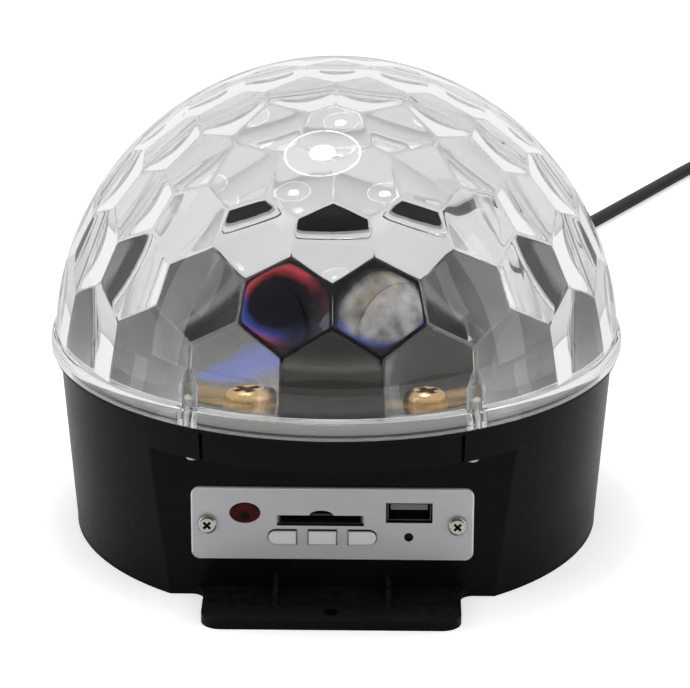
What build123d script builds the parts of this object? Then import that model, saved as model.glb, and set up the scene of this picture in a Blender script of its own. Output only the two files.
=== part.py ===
from build123d import *
import math
import os

# Faceted disco ball light: a clear domed lens on a round black base that
# holds a small music player. Millimetres, +Z up, the front faces -Y, and the
# origin is on the floor under the middle of the base.

# Overall sizes
flange_radius = 90.0
flange_height = 5.2
flange_overhang = 1.25
base_height = 59.0

# Base housing
housing_setback = 2.6
housing_taper = 4.1
housing_wall = 2.5
deck_thickness = 2.5
lip_setback = 0.7
lip_thickness = 1.2
recess_cut = 20.2
rim_height = 11.0
rim_groove_azimuth = 26.4
rim_groove_width = 1.2
rim_groove_depth = 1.0
recess_corner_radius = 1.5
edge_round = 0.8
overrun = 1.0

# Bottom cover and its ears
cover_edge = 1.6
ear_thickness = 3.0
ear_half_width = 38.8
ear_overhang = 2.2
ear_corner_radius = 6.0
ear_root_radius = 4.0
ear_hole_inset = 6.2
ear_hole_radius = 2.25
ear_rib_offset = 17.0
ear_rib_width = 1.6
ear_rib_height = 4.0
ear_rib_length = 14.0
cover_clearance = 0.2
vent_width = 2.4
vent_length = 26.0
vent_pitch = 6.0
vent_count = 7

# Lens dome
lens_middle_thickness = 5.85
lens_corner_thickness = 0.85
lens_corner_angle = 11.0
glass_edge = 0.55
flange_wall = 6.0

# Latitude, copies in the round and first azimuth of each row of lenses
lens_rows = [
    (11.0, 18, 0.0),
    (26.3, 18, 10.0),
    (39.5, 18, 0.0),
    (52.0, 18, 10.0),
    (64.8, 12, 0.0),
    (77.3, 6, 30.0),
    (90.0, 1, 0.0),
]

# Dome bosses and screws
boss_inset = 5.75
boss_radius = 3.0
boss_height = 10.7
boss_rib_height = 5.0
boss_rib_radius = 1.2
boss_web_width = 1.6
boss_hole_depth = 9.0
boss_count = 6
first_boss_azimuth = 30.0
column_radius = 3.6

# Screws
screw_radius = 1.4
screw_head_radius = 2.2
screw_head_height = 1.8
screw_tip = 0.8
hole_clearance = 0.1
cross_recess_width = 0.85
cross_recess_depth = 1.1
cross_recess_turn = 45.0
post_gap = 1.2
cover_screw_length = 14.0
post_radius = 3.6

# Control panel
panel_width = 85.0
panel_height = 23.3
panel_thickness = 1.2
panel_corner_radius = 2.6
panel_edge_chamfer = 0.3
panel_middle_height = 23.85
panel_screw_offset = 37.65
panel_screw_head_radius = 2.95
panel_screw_length = 9.0
aperture_half_width = 32.2
aperture_low = 14.5
aperture_high = 33.0

window_offset = -26.3
window_height_up = 27.4
window_width = 9.2
window_tall = 6.5
window_proud = 0.3
window_lip = 0.8
window_lip_thickness = 1.0

card_offset = -3.6
card_height_up = 25.0
card_slot_width = 26.2
card_slot_height = 3.4
notch_width = 7.2
notch_rise = 1.6
notch_offset = -3.3

port_offset = 23.1
port_height_up = 27.7
port_width = 14.0
port_tall = 6.5

mic_offset = 23.0
mic_height_up = 19.8
mic_hole_radius = 1.4

button_height_up = 19.65
button_middle_offset = -3.0
button_pitch = 12.05
button_width = 8.4
button_tall = 4.5
button_gap = 0.3
button_proud = 1.0
button_edge_round = 0.4
button_flange = 0.8
button_flange_thickness = 0.9
button_travel = 0.5
button_stem_radius = 1.75
button_stem_entry = 0.3
stem_clearance = 0.08

# Player board and what it carries
board_thickness = 1.2
board_half_width = 33.8
board_depth = 32.0
board_gap = 0.5
board_top = 23.2
shelf_width = 3.5
shelf_thickness = 2.0
shelf_depth = 20.0
card_socket_width = 28.4
card_socket_depth = 27.0
card_socket_wall = 0.6
card_width = 24.2
card_gap = 2.3
port_shell_width = 13.1
port_shell_tall = 5.7
port_shell_wall = 0.3
port_shell_depth = 14.0
tongue_width = 11.1
tongue_thickness = 1.8
tongue_setback = 1.2
tongue_raise = 1.0
switch_width = 6.0
switch_depth = 4.0
mic_radius = 2.0
mic_depth = 4.6
receiver_width = 6.0
receiver_depth = 3.6
receiver_tall = 6.4
receiver_lens_radius = 1.8

# Chassis, motor and light engine
chassis_drop = 21.0
chassis_thickness = 1.2
chassis_edge = 0.4
chassis_front_gap = 0.7
chassis_post_inset = 13.4
chassis_post_azimuth = 60.0
chassis_screw_length = 8.0
sink_base = 3.0
sink_height = 7.0
sink_radius = 30.0
sink_fin_count = 24
sink_fin_thickness = 1.2
sink_core_radius = 13.0
lamp_board_thickness = 1.6
emitter_circle_radius = 19.0
emitter_radius = 4.2
emitter_body_height = 1.6
emitter_dome_radius = 2.8
emitter_count = 6
first_emitter_azimuth = 0.0
holder_height = 9.5
holder_wall = 1.6
cup_top_radius = 7.6
cup_bottom_radius = 4.6
shaft_radius = 2.0
shaft_flat = 0.5
shaft_clearance = 0.05
shaft_hole_radius = 3.2
dish_lip_gap = 2.0
dish_lip_width = 12.0
dish_thickness = 1.0
dish_gap = 0.4
dish_sag = 6.0
turret_gap = 1.5
turret_radius = 30.0
turret_skirt = 5.0
turret_wall = 2.0
turret_shoulder_radius = 21.0
turret_shoulder_height = 20.0
turret_crown_radius = 9.0
turret_height = 25.0
turret_post_radius = 5.0
turret_side_windows = 8
turret_side_window_radius = 6.4
turret_window_raise = 1.2
turret_rest_azimuth = -3.0
turret_seat_width = 0.9
turret_seat_depth = 1.1
turret_top_window_radius = 5.2
lens_clearance = 0.05
turret_lens_bulge = 1.6
motor_radius = 24.5
motor_thickness = 14.4
motor_round = 1.2
motor_ear_offset = 29.0
motor_ear_radius = 4.5
motor_ear_thickness = 1.0
motor_collar_radius = 5.0
motor_screw_length = 5.0

# Power board, driver board and speaker
power_board_length = 54.0
power_board_width = 34.0
power_board_margin = 14.6
standoff_height = 4.4
standoff_radius = 2.6
transformer_length = 16.0
transformer_width = 15.0
transformer_height = 15.0
transformer_window = 9.0
capacitor_radius = 4.0
capacitor_height = 12.0
chip_side = 9.0
chip_height = 1.4
speaker_radius = 20.0
speaker_setback = 1.9
speaker_flange = 1.6
speaker_basket_depth = 11.0
speaker_magnet_radius = 11.0
speaker_magnet_depth = 6.0
speaker_cone_radius = 16.5
speaker_cone_thickness = 0.7
speaker_ring_wall = 2.0
grille_bar_count = 7
grille_slot_width = 2.0
grille_pitch = 4.2

# Mains lead
cord_diameter = 5.2
cord_gap = 0.6
gland_azimuth = 147.0
gland_height_up = 14.0
gland_seat_radius = 7.0
gland_seat_proud = 1.2
gland_hole_radius = 4.3
gland_flange_radius = 5.6
gland_flange_thickness = 2.0
gland_tail_radius = 3.7
gland_tail_length = 13.6
gland_inside_length = 5.0
gland_groove_width = 1.0
gland_groove_depth = 0.6
gland_groove_count = 4
cord_rest_height = 2.65
coil_outer_radius = 34.8
coil_turns_in = 2.0
coil_turns_out = 2.5
plug_thickness = 14.0
plug_width = 30.0
plug_neck_width = 12.0
plug_length = 36.0
plug_grip_length = 9.0
plug_grip_radius = 4.2
plug_corner_radius = 3.0
plug_pin_radius = 2.0
plug_pin_length = 19.0
plug_pin_spacing = 18.6

# The lead's stretch from the gland to the coil, laid by hand on the floor
cord_route_on_floor = [
    (80.0, 144.0, 6.5),
    (80.5, 188.0, 2.65),
    (73.5, 228.0, 2.65),
    (82.5, 265.0, 2.65),
    (117.5, 322.0, 2.65),
    (151.5, 378.5, 2.65),
]
cord_first_run = 28.0
cord_last_run = 60.0
cord_last_turn = -2.0
tail_runs = [14.0, 24.0, 20.0]
tail_turns = [-24.0, -22.0]
smooth_run_share = 0.45

# Radii that follow the flange
dome_radius = flange_radius - flange_overhang
housing_top_radius = flange_radius - housing_setback
housing_bottom_radius = housing_top_radius - housing_taper
lip_radius = flange_radius - lip_setback
boss_circle_radius = dome_radius - boss_inset
dish_lip_radius = boss_circle_radius - boss_radius - dish_lip_gap
deck_opening_radius = dish_lip_radius - dish_lip_width
spigot_radius = housing_bottom_radius - housing_wall - cover_clearance
cover_screw_radius = housing_bottom_radius - housing_wall - post_radius - post_gap
ear_reach = flange_radius + ear_overhang
ear_hole_offset = ear_reach - ear_hole_inset

# Heights and places worked out from the sizes above
deck_top = base_height
deck_under = deck_top - deck_thickness
ledge_height = deck_top - rim_height
recess_face = -(housing_top_radius - recess_cut)
panel_face = recess_face - panel_thickness
wall_back = recess_face + housing_wall
chassis_height = base_height - chassis_drop
sink_bottom = chassis_height + chassis_thickness
board_level = sink_bottom + sink_height
emitter_level = board_level + lamp_board_thickness
holder_top = emitter_level + holder_height
turret_bottom = holder_top + turret_gap
power_board_level = ear_thickness + standoff_height
power_board_offset = spigot_radius - power_board_width / 2 - power_board_margin
speaker_height_up = (ear_thickness + deck_under) / 2

# Lens curvature that meets the middle and corner thickness of the glass
lens_apex_distance = dome_radius - lens_middle_thickness
lens_corner_distance = dome_radius - lens_corner_thickness
lens_corner_cosine = math.cos(math.radians(lens_corner_angle))
lens_corner_depth = lens_corner_distance * lens_corner_cosine - lens_apex_distance
lens_corner_reach = lens_corner_distance * math.sin(math.radians(lens_corner_angle))
lens_corner_span = math.hypot(lens_corner_depth, lens_corner_reach)
lens_radius = lens_corner_span**2 / (2 * lens_corner_depth)


def azimuth_point(distance, azimuth, height=0.0):
    """Point at an azimuth that is counted from the front towards +X."""
    angle = math.radians(azimuth)
    return Vector(distance * math.sin(angle), -distance * math.cos(angle), height)


def azimuth_plane(distance, azimuth, height):
    """Upright plane at an azimuth, with its normal pointing outwards."""
    outward = azimuth_point(1.0, azimuth)
    sideways = (-outward.Y, outward.X, 0)
    return Plane(origin=azimuth_point(distance, azimuth, height), x_dir=sideways, z_dir=outward)


def front_plane(x, y, z):
    """Upright plane whose normal points to the viewer in front."""
    return Plane(origin=(x, y, z), x_dir=(1, 0, 0), z_dir=(0, -1, 0))


def around(count, distance, first_azimuth, height):
    """Evenly spaced points on a circle about the vertical axis."""
    return [azimuth_point(distance, first_azimuth + 360 / count * step, height) for step in range(count)]


def upright(radius, bottom, top, place=Vector(0, 0, 0)):
    """Vertical cylinder between two heights."""
    return Plane(origin=(place.X, place.Y, bottom)) * extrude(Circle(radius), amount=top - bottom)


def block(low, high):
    """Box between two corners."""
    size = [b - a for a, b in zip(low, high)]
    return Pos(*low) * Box(*size, align=(Align.MIN, Align.MIN, Align.MIN))


def turned(points):
    """Solid of revolution about the vertical axis from radius and height pairs."""
    outline = Polyline(*[(radius, 0, height) for radius, height in points], close=True)
    return revolve(make_face(outline), axis=Axis.Z)


def frustum(bottom_radius, top_radius, bottom, top):
    """Upright cone slice."""
    return turned([(0, bottom), (bottom_radius, bottom), (top_radius, top), (0, top)])


def housing_radius_at(height):
    """Outer radius of the tapered base wall at a height."""
    share = (height - cover_edge) / (base_height - lip_thickness - cover_edge)
    return housing_bottom_radius + (housing_top_radius - housing_bottom_radius) * share


# Places that follow the tapered wall
chassis_post_distance = housing_radius_at(chassis_height) - housing_wall - chassis_post_inset
chassis_radius = chassis_post_distance + post_radius + chassis_edge
chassis_half_depth = -recess_face - port_shell_depth - chassis_front_gap
gland_seat_distance = housing_radius_at(gland_height_up) + gland_seat_proud
speaker_wall_radius = housing_radius_at(speaker_height_up - speaker_radius) - housing_wall
speaker_seat_distance = math.sqrt(speaker_wall_radius**2 - speaker_radius**2) - speaker_setback


def cross_recess(head_radius):
    """Cross-shaped driver recess that is cut into a screw head."""
    arm = Box(head_radius, cross_recess_width, cross_recess_depth * 2)
    return Rot(0, 0, cross_recess_turn) * (arm + Rot(0, 0, 90) * arm)


def screw(shank_radius, head_radius, length):
    """Pan head screw along +Z with its head under the origin."""
    head = Pos(0, 0, -screw_head_height / 2) * Cylinder(head_radius, screw_head_height)
    rounding = screw_head_height / 2
    head = fillet(head.edges().group_by(Axis.Z)[0], rounding)
    shank = extrude(Circle(shank_radius), amount=length)
    shank = chamfer(shank.edges().group_by(Axis.Z)[-1], screw_tip, shank_radius / 2)
    return head + shank - Pos(0, 0, -screw_head_height) * cross_recess(head_radius)


def post_places():
    """Middles of the four posts that take the cover screws."""
    return around(4, cover_screw_radius, 45.0, 0.0)


def chassis_places():
    """Middles of the four posts that carry the chassis plate."""
    azimuths = [chassis_post_azimuth, 180 - chassis_post_azimuth]
    return [azimuth_point(chassis_post_distance, side * azimuth) for azimuth in azimuths for side in (1, -1)]


def base_housing():
    """Tapered round shell with a flat front recess, a deck and its posts."""
    wall_top = base_height - lip_thickness
    outer = frustum(housing_bottom_radius, housing_top_radius, cover_edge, wall_top)
    outer += upright(lip_radius, wall_top, base_height)
    outer -= block(
        (-flange_radius, -flange_radius, -overrun),
        (flange_radius, recess_face, ledge_height),
    )
    outer = fillet(recess_corners(outer), recess_corner_radius)
    cavity = frustum(
        housing_bottom_radius - housing_wall,
        housing_radius_at(deck_under) - housing_wall,
        cover_edge,
        deck_under,
    )
    cavity -= block(
        (-flange_radius, -flange_radius, -overrun),
        (flange_radius, wall_back, ledge_height + housing_wall),
    )
    shell = outer - cavity - upright(deck_opening_radius, deck_under - overrun, deck_top + overrun)
    shell = add_dome_columns(shell) - rim_grooves()
    shell = add_inner_posts(shell)
    shell = add_front_details(shell)
    shell = add_speaker_ring(shell)
    return add_gland_seat(shell)


def recess_corners(shell):
    """Upright edges where the flat recess meets the round wall."""
    tall = [edge for edge in shell.edges() if edge.bounding_box().size.Z > panel_height]
    return [edge for edge in tall if abs(edge.center().Y - recess_face) < hole_clearance]


def rim_grooves():
    """Upright grooves that mark off the two front screw columns on the rim."""
    radius = housing_radius_at(ledge_height) - rim_groove_depth
    groove = block(
        (radius, -rim_groove_width / 2, ledge_height - overrun),
        (flange_radius, rim_groove_width / 2, base_height - lip_thickness),
    )
    return [Rot(0, 0, side * rim_groove_azimuth - 90) * groove for side in (-1, 1)]


def add_dome_columns(shell):
    """Columns under the deck that guide the dome screws."""
    for place in around(boss_count, boss_circle_radius, first_boss_azimuth, 0.0):
        column = upright(column_radius, ledge_height, deck_under + overrun, place)
        shell += column & frustum(
            housing_bottom_radius,
            housing_top_radius - edge_round,
            cover_edge,
            base_height,
        )
        shell -= upright(screw_radius + hole_clearance, cover_edge, base_height + overrun, place)
        shell -= upright(screw_head_radius + hole_clearance, ledge_height - rim_height, ledge_height, place)
    return shell


def add_inner_posts(shell):
    """Posts for the bottom cover and for the chassis plate, with pilot holes."""
    for place in post_places():
        shell += upright(post_radius, ear_thickness, deck_under + overrun, place)
        shell -= upright(screw_radius + hole_clearance, cover_edge, cover_screw_length + overrun, place)
    chassis_top = chassis_height + chassis_thickness
    for place in chassis_places():
        shell += upright(post_radius, chassis_top, deck_under + overrun, place)
        hole_top = chassis_height + chassis_screw_length
        shell -= upright(screw_radius + hole_clearance, chassis_height, hole_top, place)
    return shell


def add_front_details(shell):
    """Aperture behind the panel, panel screw posts and board shelves."""
    aperture_depth = housing_wall + overrun
    middle = (aperture_low + aperture_high) / 2
    opening = extrude(
        front_plane(0, wall_back + overrun / 2, middle)
        * Rectangle(aperture_half_width * 2, aperture_high - aperture_low),
        amount=aperture_depth,
    )
    shell -= opening
    for side in (-1, 1):
        place = front_plane(side * panel_screw_offset, wall_back + panel_screw_length, panel_middle_height)
        shell += extrude(place * Circle(post_radius), amount=panel_screw_length + housing_wall / 2)
        depth = panel_screw_length + aperture_depth
        shell -= extrude(place * Circle(screw_radius + hole_clearance), amount=depth)
        board_under = board_top - board_thickness
        inner = side * aperture_half_width
        outer = side * (aperture_half_width + shelf_width)
        shell += block(
            (min(inner, outer), wall_back - overrun, board_under - shelf_thickness),
            (max(inner, outer), wall_back + shelf_depth, board_under),
        )
    return shell


def grille_slots():
    """Upright slots that follow the round edge of the loudspeaker."""
    slots = []
    reach = speaker_cone_radius
    for step in range(grille_bar_count):
        x = (step - (grille_bar_count - 1) / 2) * grille_pitch
        length = 2 * math.sqrt(reach**2 - x**2)
        middle = (x, speaker_seat_distance - overrun, speaker_height_up)
        plane = Plane(origin=middle, x_dir=(0, 0, 1), z_dir=(0, 1, 0))
        slot = plane * SlotOverall(length, grille_slot_width)
        slots.append(extrude(slot, amount=flange_radius - speaker_seat_distance))
    return slots


def add_speaker_ring(shell):
    """Round seat behind the rear wall for the loudspeaker, and its grille."""
    plane = Plane(origin=(0, speaker_seat_distance, speaker_height_up), x_dir=(-1, 0, 0), z_dir=(0, 1, 0))
    ring = Circle(speaker_radius) - Circle(speaker_radius - speaker_ring_wall)
    solid_ring = extrude(plane * ring, amount=flange_radius - speaker_seat_distance)
    envelope = frustum(
        housing_bottom_radius - housing_wall / 2,
        housing_top_radius - housing_wall / 2,
        cover_edge,
        base_height,
    )
    shell += solid_ring & envelope
    return shell - grille_slots()


def add_gland_seat(shell):
    """Flat round seat at the back with the hole for the strain relief."""
    seat = azimuth_plane(gland_seat_distance, gland_azimuth, gland_height_up)
    depth = gland_seat_distance - housing_bottom_radius + housing_wall
    shell += extrude(seat * Circle(gland_seat_radius), amount=-depth)
    return shell - extrude(
        seat.offset(overrun) * Circle(gland_hole_radius), amount=-(depth + 2 * overrun)
    )


def ear_outline():
    """Flat shape of both ears joined by the strip between them."""
    ears = RectangleRounded(ear_half_width * 2, ear_reach * 2, ear_corner_radius)
    return ears


def root_fillets():
    """Concave corners where the front ear meets the straight front edge."""
    fillets = Sketch()
    for side in (-1, 1):
        corner = Pos(side * (ear_half_width + ear_root_radius / 2), recess_face - ear_root_radius / 2)
        square = corner * Rectangle(ear_root_radius, ear_root_radius)
        round_place = Pos(side * (ear_half_width + ear_root_radius), recess_face - ear_root_radius)
        fillets += square - round_place * Circle(ear_root_radius)
    return fillets


def bottom_cover():
    """Flat cover with two mounting ears, ribs, vents and standoffs."""
    disc = Circle(housing_bottom_radius) & (
        Pos(0, flange_radius + recess_face) * Rectangle(flange_radius * 2, flange_radius * 2)
    )
    cover = extrude(disc, amount=cover_edge)
    cover += extrude(ear_outline() + root_fillets(), amount=cover_edge)
    front_limit = wall_back + cover_clearance
    spigot = Circle(spigot_radius) & (
        Pos(0, flange_radius + front_limit) * Rectangle(flange_radius * 2, flange_radius * 2)
    )
    cover += extrude(spigot, amount=ear_thickness)
    outside = extrude(ear_outline() + root_fillets(), amount=ear_thickness)
    keep_out = upright(housing_bottom_radius + cover_clearance, cover_edge, ear_thickness + overrun)
    keep_out -= block(
        (-flange_radius, -flange_radius, 0),
        (flange_radius, recess_face - cover_clearance, flange_radius),
    )
    cover += outside - keep_out
    cover = add_ear_details(cover)
    cover = add_cover_vents(cover)
    return add_standoffs(cover)


def add_ear_details(cover):
    """Mounting holes and the low ribs on the front ear."""
    for side in (-1, 1):
        middle = Vector(0, side * ear_hole_offset, 0)
        cover -= upright(ear_hole_radius, -overrun, ear_thickness + overrun, middle)
    start = recess_face - cover_clearance
    for side in (-1, 1):
        left = side * ear_rib_offset - ear_rib_width / 2
        plane = Plane(origin=(left, 0, 0), x_dir=(0, 1, 0), z_dir=(1, 0, 0))
        corners = [
            (start, ear_thickness),
            (start, ear_thickness + ear_rib_height),
            (start - ear_rib_length, ear_thickness),
        ]
        rib = make_face(Polyline(*corners, close=True))
        cover += extrude(plane * rib, amount=ear_rib_width)
    for place in post_places():
        cover -= upright(screw_radius + hole_clearance, -overrun, ear_thickness + overrun, place)
        cover -= upright(screw_head_radius + hole_clearance, -overrun, cover_sink_depth(), place)
    return cover


def cover_sink_depth():
    """Depth of the pocket that hides each cover screw head."""
    return screw_head_height + hole_clearance


def add_cover_vents(cover):
    """Row of vent slots under the motor."""
    for step in range(vent_count):
        x = (step - (vent_count - 1) / 2) * vent_pitch
        slot = Plane(origin=(x, 0, -overrun)) * Rot(0, 0, 90) * SlotOverall(vent_length, vent_width)
        cover -= extrude(slot, amount=ear_thickness + 2 * overrun)
    return cover


def standoff_places(side):
    """Corners of one of the two flat boards in the base."""
    inset = 2 * standoff_radius
    dx = power_board_width / 2 - inset
    dy = power_board_length / 2 - inset
    return [Vector(side * power_board_offset + i * dx, j * dy, 0) for i in (-1, 1) for j in (-1, 1)]


def add_standoffs(cover):
    """Round standoffs under both boards."""
    for side in (-1, 1):
        for place in standoff_places(side):
            cover += upright(standoff_radius, ear_thickness, power_board_level, place)
    return cover


def lens_balls(latitude, count, first):
    """Balls whose caps form one row of lenses."""
    distance = lens_apex_distance + lens_radius
    level = math.radians(latitude)
    places = around(count, distance * math.cos(level), first, distance * math.sin(level))
    return [Pos(*place) * Sphere(lens_radius) for place in places]


def dome_cavity():
    """Hollow of the dome about its own centre: lenses bulge into it."""
    cavity = Sphere(dome_radius - glass_edge) & upper_half()
    for latitude, count, first in lens_rows:
        cavity -= lens_balls(latitude, count, first)
    return cavity


def upper_half():
    """Block that covers all above the dome's centre."""
    return block((-flange_radius, -flange_radius, 0), (flange_radius, flange_radius, flange_radius))


def dome():
    """Clear dome: smooth outside, a lens behind every facet, flange and bosses."""
    shell = (Sphere(dome_radius) & upper_half()) - dome_cavity()
    shell = Pos(0, 0, base_height) * shell
    ring = Circle(flange_radius) - Circle(flange_radius - flange_wall)
    shell += Plane(origin=(0, 0, base_height)) * extrude(ring, amount=flange_height)
    for place in around(boss_count, boss_circle_radius, first_boss_azimuth, 0.0):
        top = base_height + boss_height
        boss = upright(boss_radius, base_height, top, place)
        cone = turned([(0, 0), (boss_radius, 0), (boss_rib_radius, boss_rib_height), (0, boss_rib_height)])
        boss += Pos(place.X, place.Y, top) * cone
        shell += boss
    shell += boss_webs()
    for place in around(boss_count, boss_circle_radius, first_boss_azimuth, 0.0):
        hole_top = base_height + boss_hole_depth
        shell -= upright(screw_radius + hole_clearance, base_height - overrun, hole_top, place)
    return shell


def boss_webs():
    """Thin webs that tie each boss to the dome's wall."""
    low = boss_circle_radius + screw_radius + hole_clearance
    web = block((low, -boss_web_width / 2, 0), (dome_radius, boss_web_width / 2, boss_height))
    web &= Sphere(dome_radius - glass_edge / 2)
    webs = [Rot(0, 0, first_boss_azimuth - 90 + 360 / boss_count * step) * web for step in range(boss_count)]
    return Pos(0, 0, base_height) * (Part() + webs)


def dome_screws():
    """Six screws that hold the dome from below."""
    length = rim_height + boss_hole_depth - overrun
    one = screw(screw_radius, screw_head_radius, length)
    places = around(boss_count, boss_circle_radius, first_boss_azimuth, ledge_height)
    return Part() + [Pos(*place) * one for place in places]


def cover_screws():
    """Four screws that hold the bottom cover, with sunk heads."""
    one = screw(screw_radius, screw_head_radius, cover_screw_length - cover_sink_depth())
    return Part() + [Pos(place.X, place.Y, cover_sink_depth()) * one for place in post_places()]


def ellipse_prism(grow, y, depth):
    """Upright elliptical prism of the infrared window, grown all round."""
    shape = Ellipse(window_width / 2 + grow, window_tall / 2 + grow)
    return extrude(front_plane(window_offset, y, window_height_up) * shape, amount=depth)


def button_sketch(index, grow):
    """Outline of a button: the outer two have one round end each."""
    half_width = button_width / 2 + grow
    half_tall = button_tall / 2 + grow
    shape = Rectangle(half_width * 2, half_tall * 2)
    if index == 0:
        return shape
    end = Pos(index * (half_width - half_tall), 0) * Circle(half_tall)
    keep = Pos(-index * half_tall, 0) * Rectangle(half_width * 2, half_tall * 2)
    return (shape & keep) + end


def button_place(index, y):
    """Plane of a button's outline at a depth."""
    return front_plane(button_middle_offset + index * button_pitch, y, button_height_up)


def control_panel():
    """Brushed panel with its slot, port, window, button and screw cut-outs."""
    plate = extrude(
        front_plane(0, recess_face, panel_middle_height)
        * RectangleRounded(panel_width, panel_height, panel_corner_radius),
        amount=panel_thickness,
    )
    plate = chamfer(plate.edges().group_by(Axis.Y)[0], panel_edge_chamfer)
    y = recess_face + overrun
    depth = panel_thickness + 2 * overrun
    slot = Rectangle(card_slot_width, card_slot_height)
    plate -= extrude(front_plane(card_offset, y, card_height_up) * slot, amount=depth)
    notch_middle = card_height_up + card_slot_height / 2
    notch = front_plane(notch_offset, y, notch_middle) * Ellipse(notch_width / 2, notch_rise)
    plate -= extrude(notch, amount=depth)
    port = front_plane(port_offset, y, port_height_up) * Rectangle(port_width, port_tall)
    plate -= extrude(port, amount=depth)
    plate -= extrude(front_plane(mic_offset, y, mic_height_up) * Circle(mic_hole_radius), amount=depth)
    plate -= ellipse_prism(hole_clearance, y, depth)
    for index in (-1, 0, 1):
        plate -= extrude(button_place(index, y) * button_sketch(index, button_gap), amount=depth)
    for side in (-1, 1):
        place = front_plane(side * panel_screw_offset, y, panel_middle_height)
        hole = place * Circle(screw_radius + hole_clearance)
        plate -= extrude(hole, amount=depth)
    return plate


def panel_screws():
    """Two pan head screws at the ends of the panel."""
    one = screw(screw_radius, panel_screw_head_radius, panel_screw_length)
    facing = Rot(-90, 0, 0) * one
    places = [(side * panel_screw_offset, panel_face, panel_middle_height) for side in (-1, 1)]
    return Part() + [Pos(*place) * facing for place in places]


def ir_window():
    """Dark red oval window, held by a lip behind the panel."""
    front = panel_thickness + window_proud
    window = ellipse_prism(0, recess_face, front)
    window = fillet(window.edges().group_by(Axis.Y)[0], window_proud)
    return window + ellipse_prism(window_lip, recess_face + window_lip_thickness, window_lip_thickness)


def push_button(index):
    """Button cap with a retaining flange and a stem into its switch."""
    cap_back = recess_face + button_gap
    cap_depth = panel_thickness + button_proud + button_gap
    cap = extrude(button_place(index, cap_back) * button_sketch(index, 0), amount=cap_depth)
    cap = fillet(cap.edges().group_by(Axis.Y)[0], button_edge_round)
    flange_back = cap_back + button_flange_thickness
    cap += extrude(
        button_place(index, flange_back) * button_sketch(index, button_flange), amount=button_flange_thickness
    )
    stem_length = switch_front() + button_stem_entry - flange_back
    return cap + extrude(button_place(index, flange_back) * Circle(button_stem_radius), amount=-stem_length)


def switch_front():
    """Depth of the tactile switches' front face."""
    flange_back = recess_face + button_gap + button_flange_thickness
    return flange_back + button_travel + button_gap


def switches():
    """Tactile switches under the player board, one behind each button."""
    depth_plane = switch_front() + switch_depth
    board_under = board_top - board_thickness
    half_tall = board_under - button_height_up
    result = Part()
    for index in (-1, 0, 1):
        body = extrude(
            button_place(index, depth_plane) * Rectangle(switch_width, half_tall * 2), amount=switch_depth
        )
        socket_depth = button_stem_entry + button_travel + button_gap
        socket = extrude(
            button_place(index, switch_front() + socket_depth) * Circle(button_stem_radius + stem_clearance),
            amount=socket_depth + overrun,
        )
        result += body - socket
    return result


def player_board():
    """Circuit board that lies level behind the panel on two shelves."""
    start = wall_back + board_gap
    board = block(
        (-board_half_width, start, board_top - board_thickness),
        (board_half_width, start + board_depth, board_top),
    )
    return board


def player_chips():
    """Flat chips on the player board."""
    rear = wall_back + board_gap + board_depth - chip_side
    chips = [(-board_half_width + chip_side, rear), (board_half_width - chip_side, rear)]
    shape = Box(chip_side, chip_side, chip_height, align=(Align.CENTER, Align.CENTER, Align.MIN))
    return Part() + [Pos(x, y, board_top) * shape for x, y in chips]


def card_socket():
    """Memory card socket with its open slot towards the front."""
    half_tall = card_height_up - board_top
    outside = extrude(
        front_plane(card_offset, recess_face + card_socket_depth, card_height_up)
        * Rectangle(card_socket_width, half_tall * 2),
        amount=card_socket_depth,
    )
    slot_depth = card_socket_depth - card_socket_wall
    slot = extrude(
        front_plane(card_offset, recess_face + slot_depth, card_height_up) * Rectangle(card_width, card_gap),
        amount=slot_depth + overrun,
    )
    return outside - slot


def usb_shell():
    """Folded metal shell of the USB socket, standing on the board."""
    back = recess_face + port_shell_depth
    outer = Rectangle(port_shell_width, port_shell_tall)
    inner = Rectangle(port_shell_width - 2 * port_shell_wall, port_shell_tall - 2 * port_shell_wall)
    shell = extrude(front_plane(port_offset, back, port_height_up) * outer, amount=port_shell_depth)
    inner_depth = port_shell_depth - port_shell_wall
    shell -= extrude(
        front_plane(port_offset, recess_face + inner_depth, port_height_up) * inner,
        amount=inner_depth + overrun,
    )
    low = port_height_up - port_shell_tall / 2
    for side in (-1, 1):
        edge = port_offset + side * (port_shell_width - card_socket_wall) / 2
        start = wall_back + board_gap
        shell += block(
            (edge - card_socket_wall / 2, start, board_top),
            (edge + card_socket_wall / 2, back, low),
        )
    return shell


def usb_tongue():
    """Plastic tongue with its back block inside the USB shell."""
    inner_back = recess_face + port_shell_depth - port_shell_wall
    clear = port_shell_wall + hole_clearance
    wide = port_shell_width - 2 * clear
    tall = port_shell_tall - 2 * clear
    back_block = extrude(
        front_plane(port_offset, inner_back - hole_clearance, port_height_up) * Rectangle(wide, tall),
        amount=tongue_thickness,
    )
    length = port_shell_depth - port_shell_wall - hole_clearance - tongue_setback
    tongue = extrude(
        front_plane(port_offset, inner_back - hole_clearance, port_height_up + tongue_raise)
        * Rectangle(tongue_width, tongue_thickness),
        amount=length,
    )
    return back_block + tongue


def microphone():
    """Round capsule behind the small hole."""
    back = recess_face + mic_depth + hole_clearance
    return extrude(front_plane(mic_offset, back, mic_height_up) * Circle(mic_radius), amount=mic_depth)


def ir_receiver():
    """Receiver block with its lens behind the red window."""
    front = recess_face + window_lip_thickness + receiver_lens_radius + button_gap
    low = board_top
    body = block(
        (window_offset - receiver_width / 2, front, low),
        (window_offset + receiver_width / 2, front + receiver_depth, low + receiver_tall),
    )
    lens = Pos(window_offset, front, window_height_up) * Sphere(receiver_lens_radius)
    return body + lens


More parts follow.
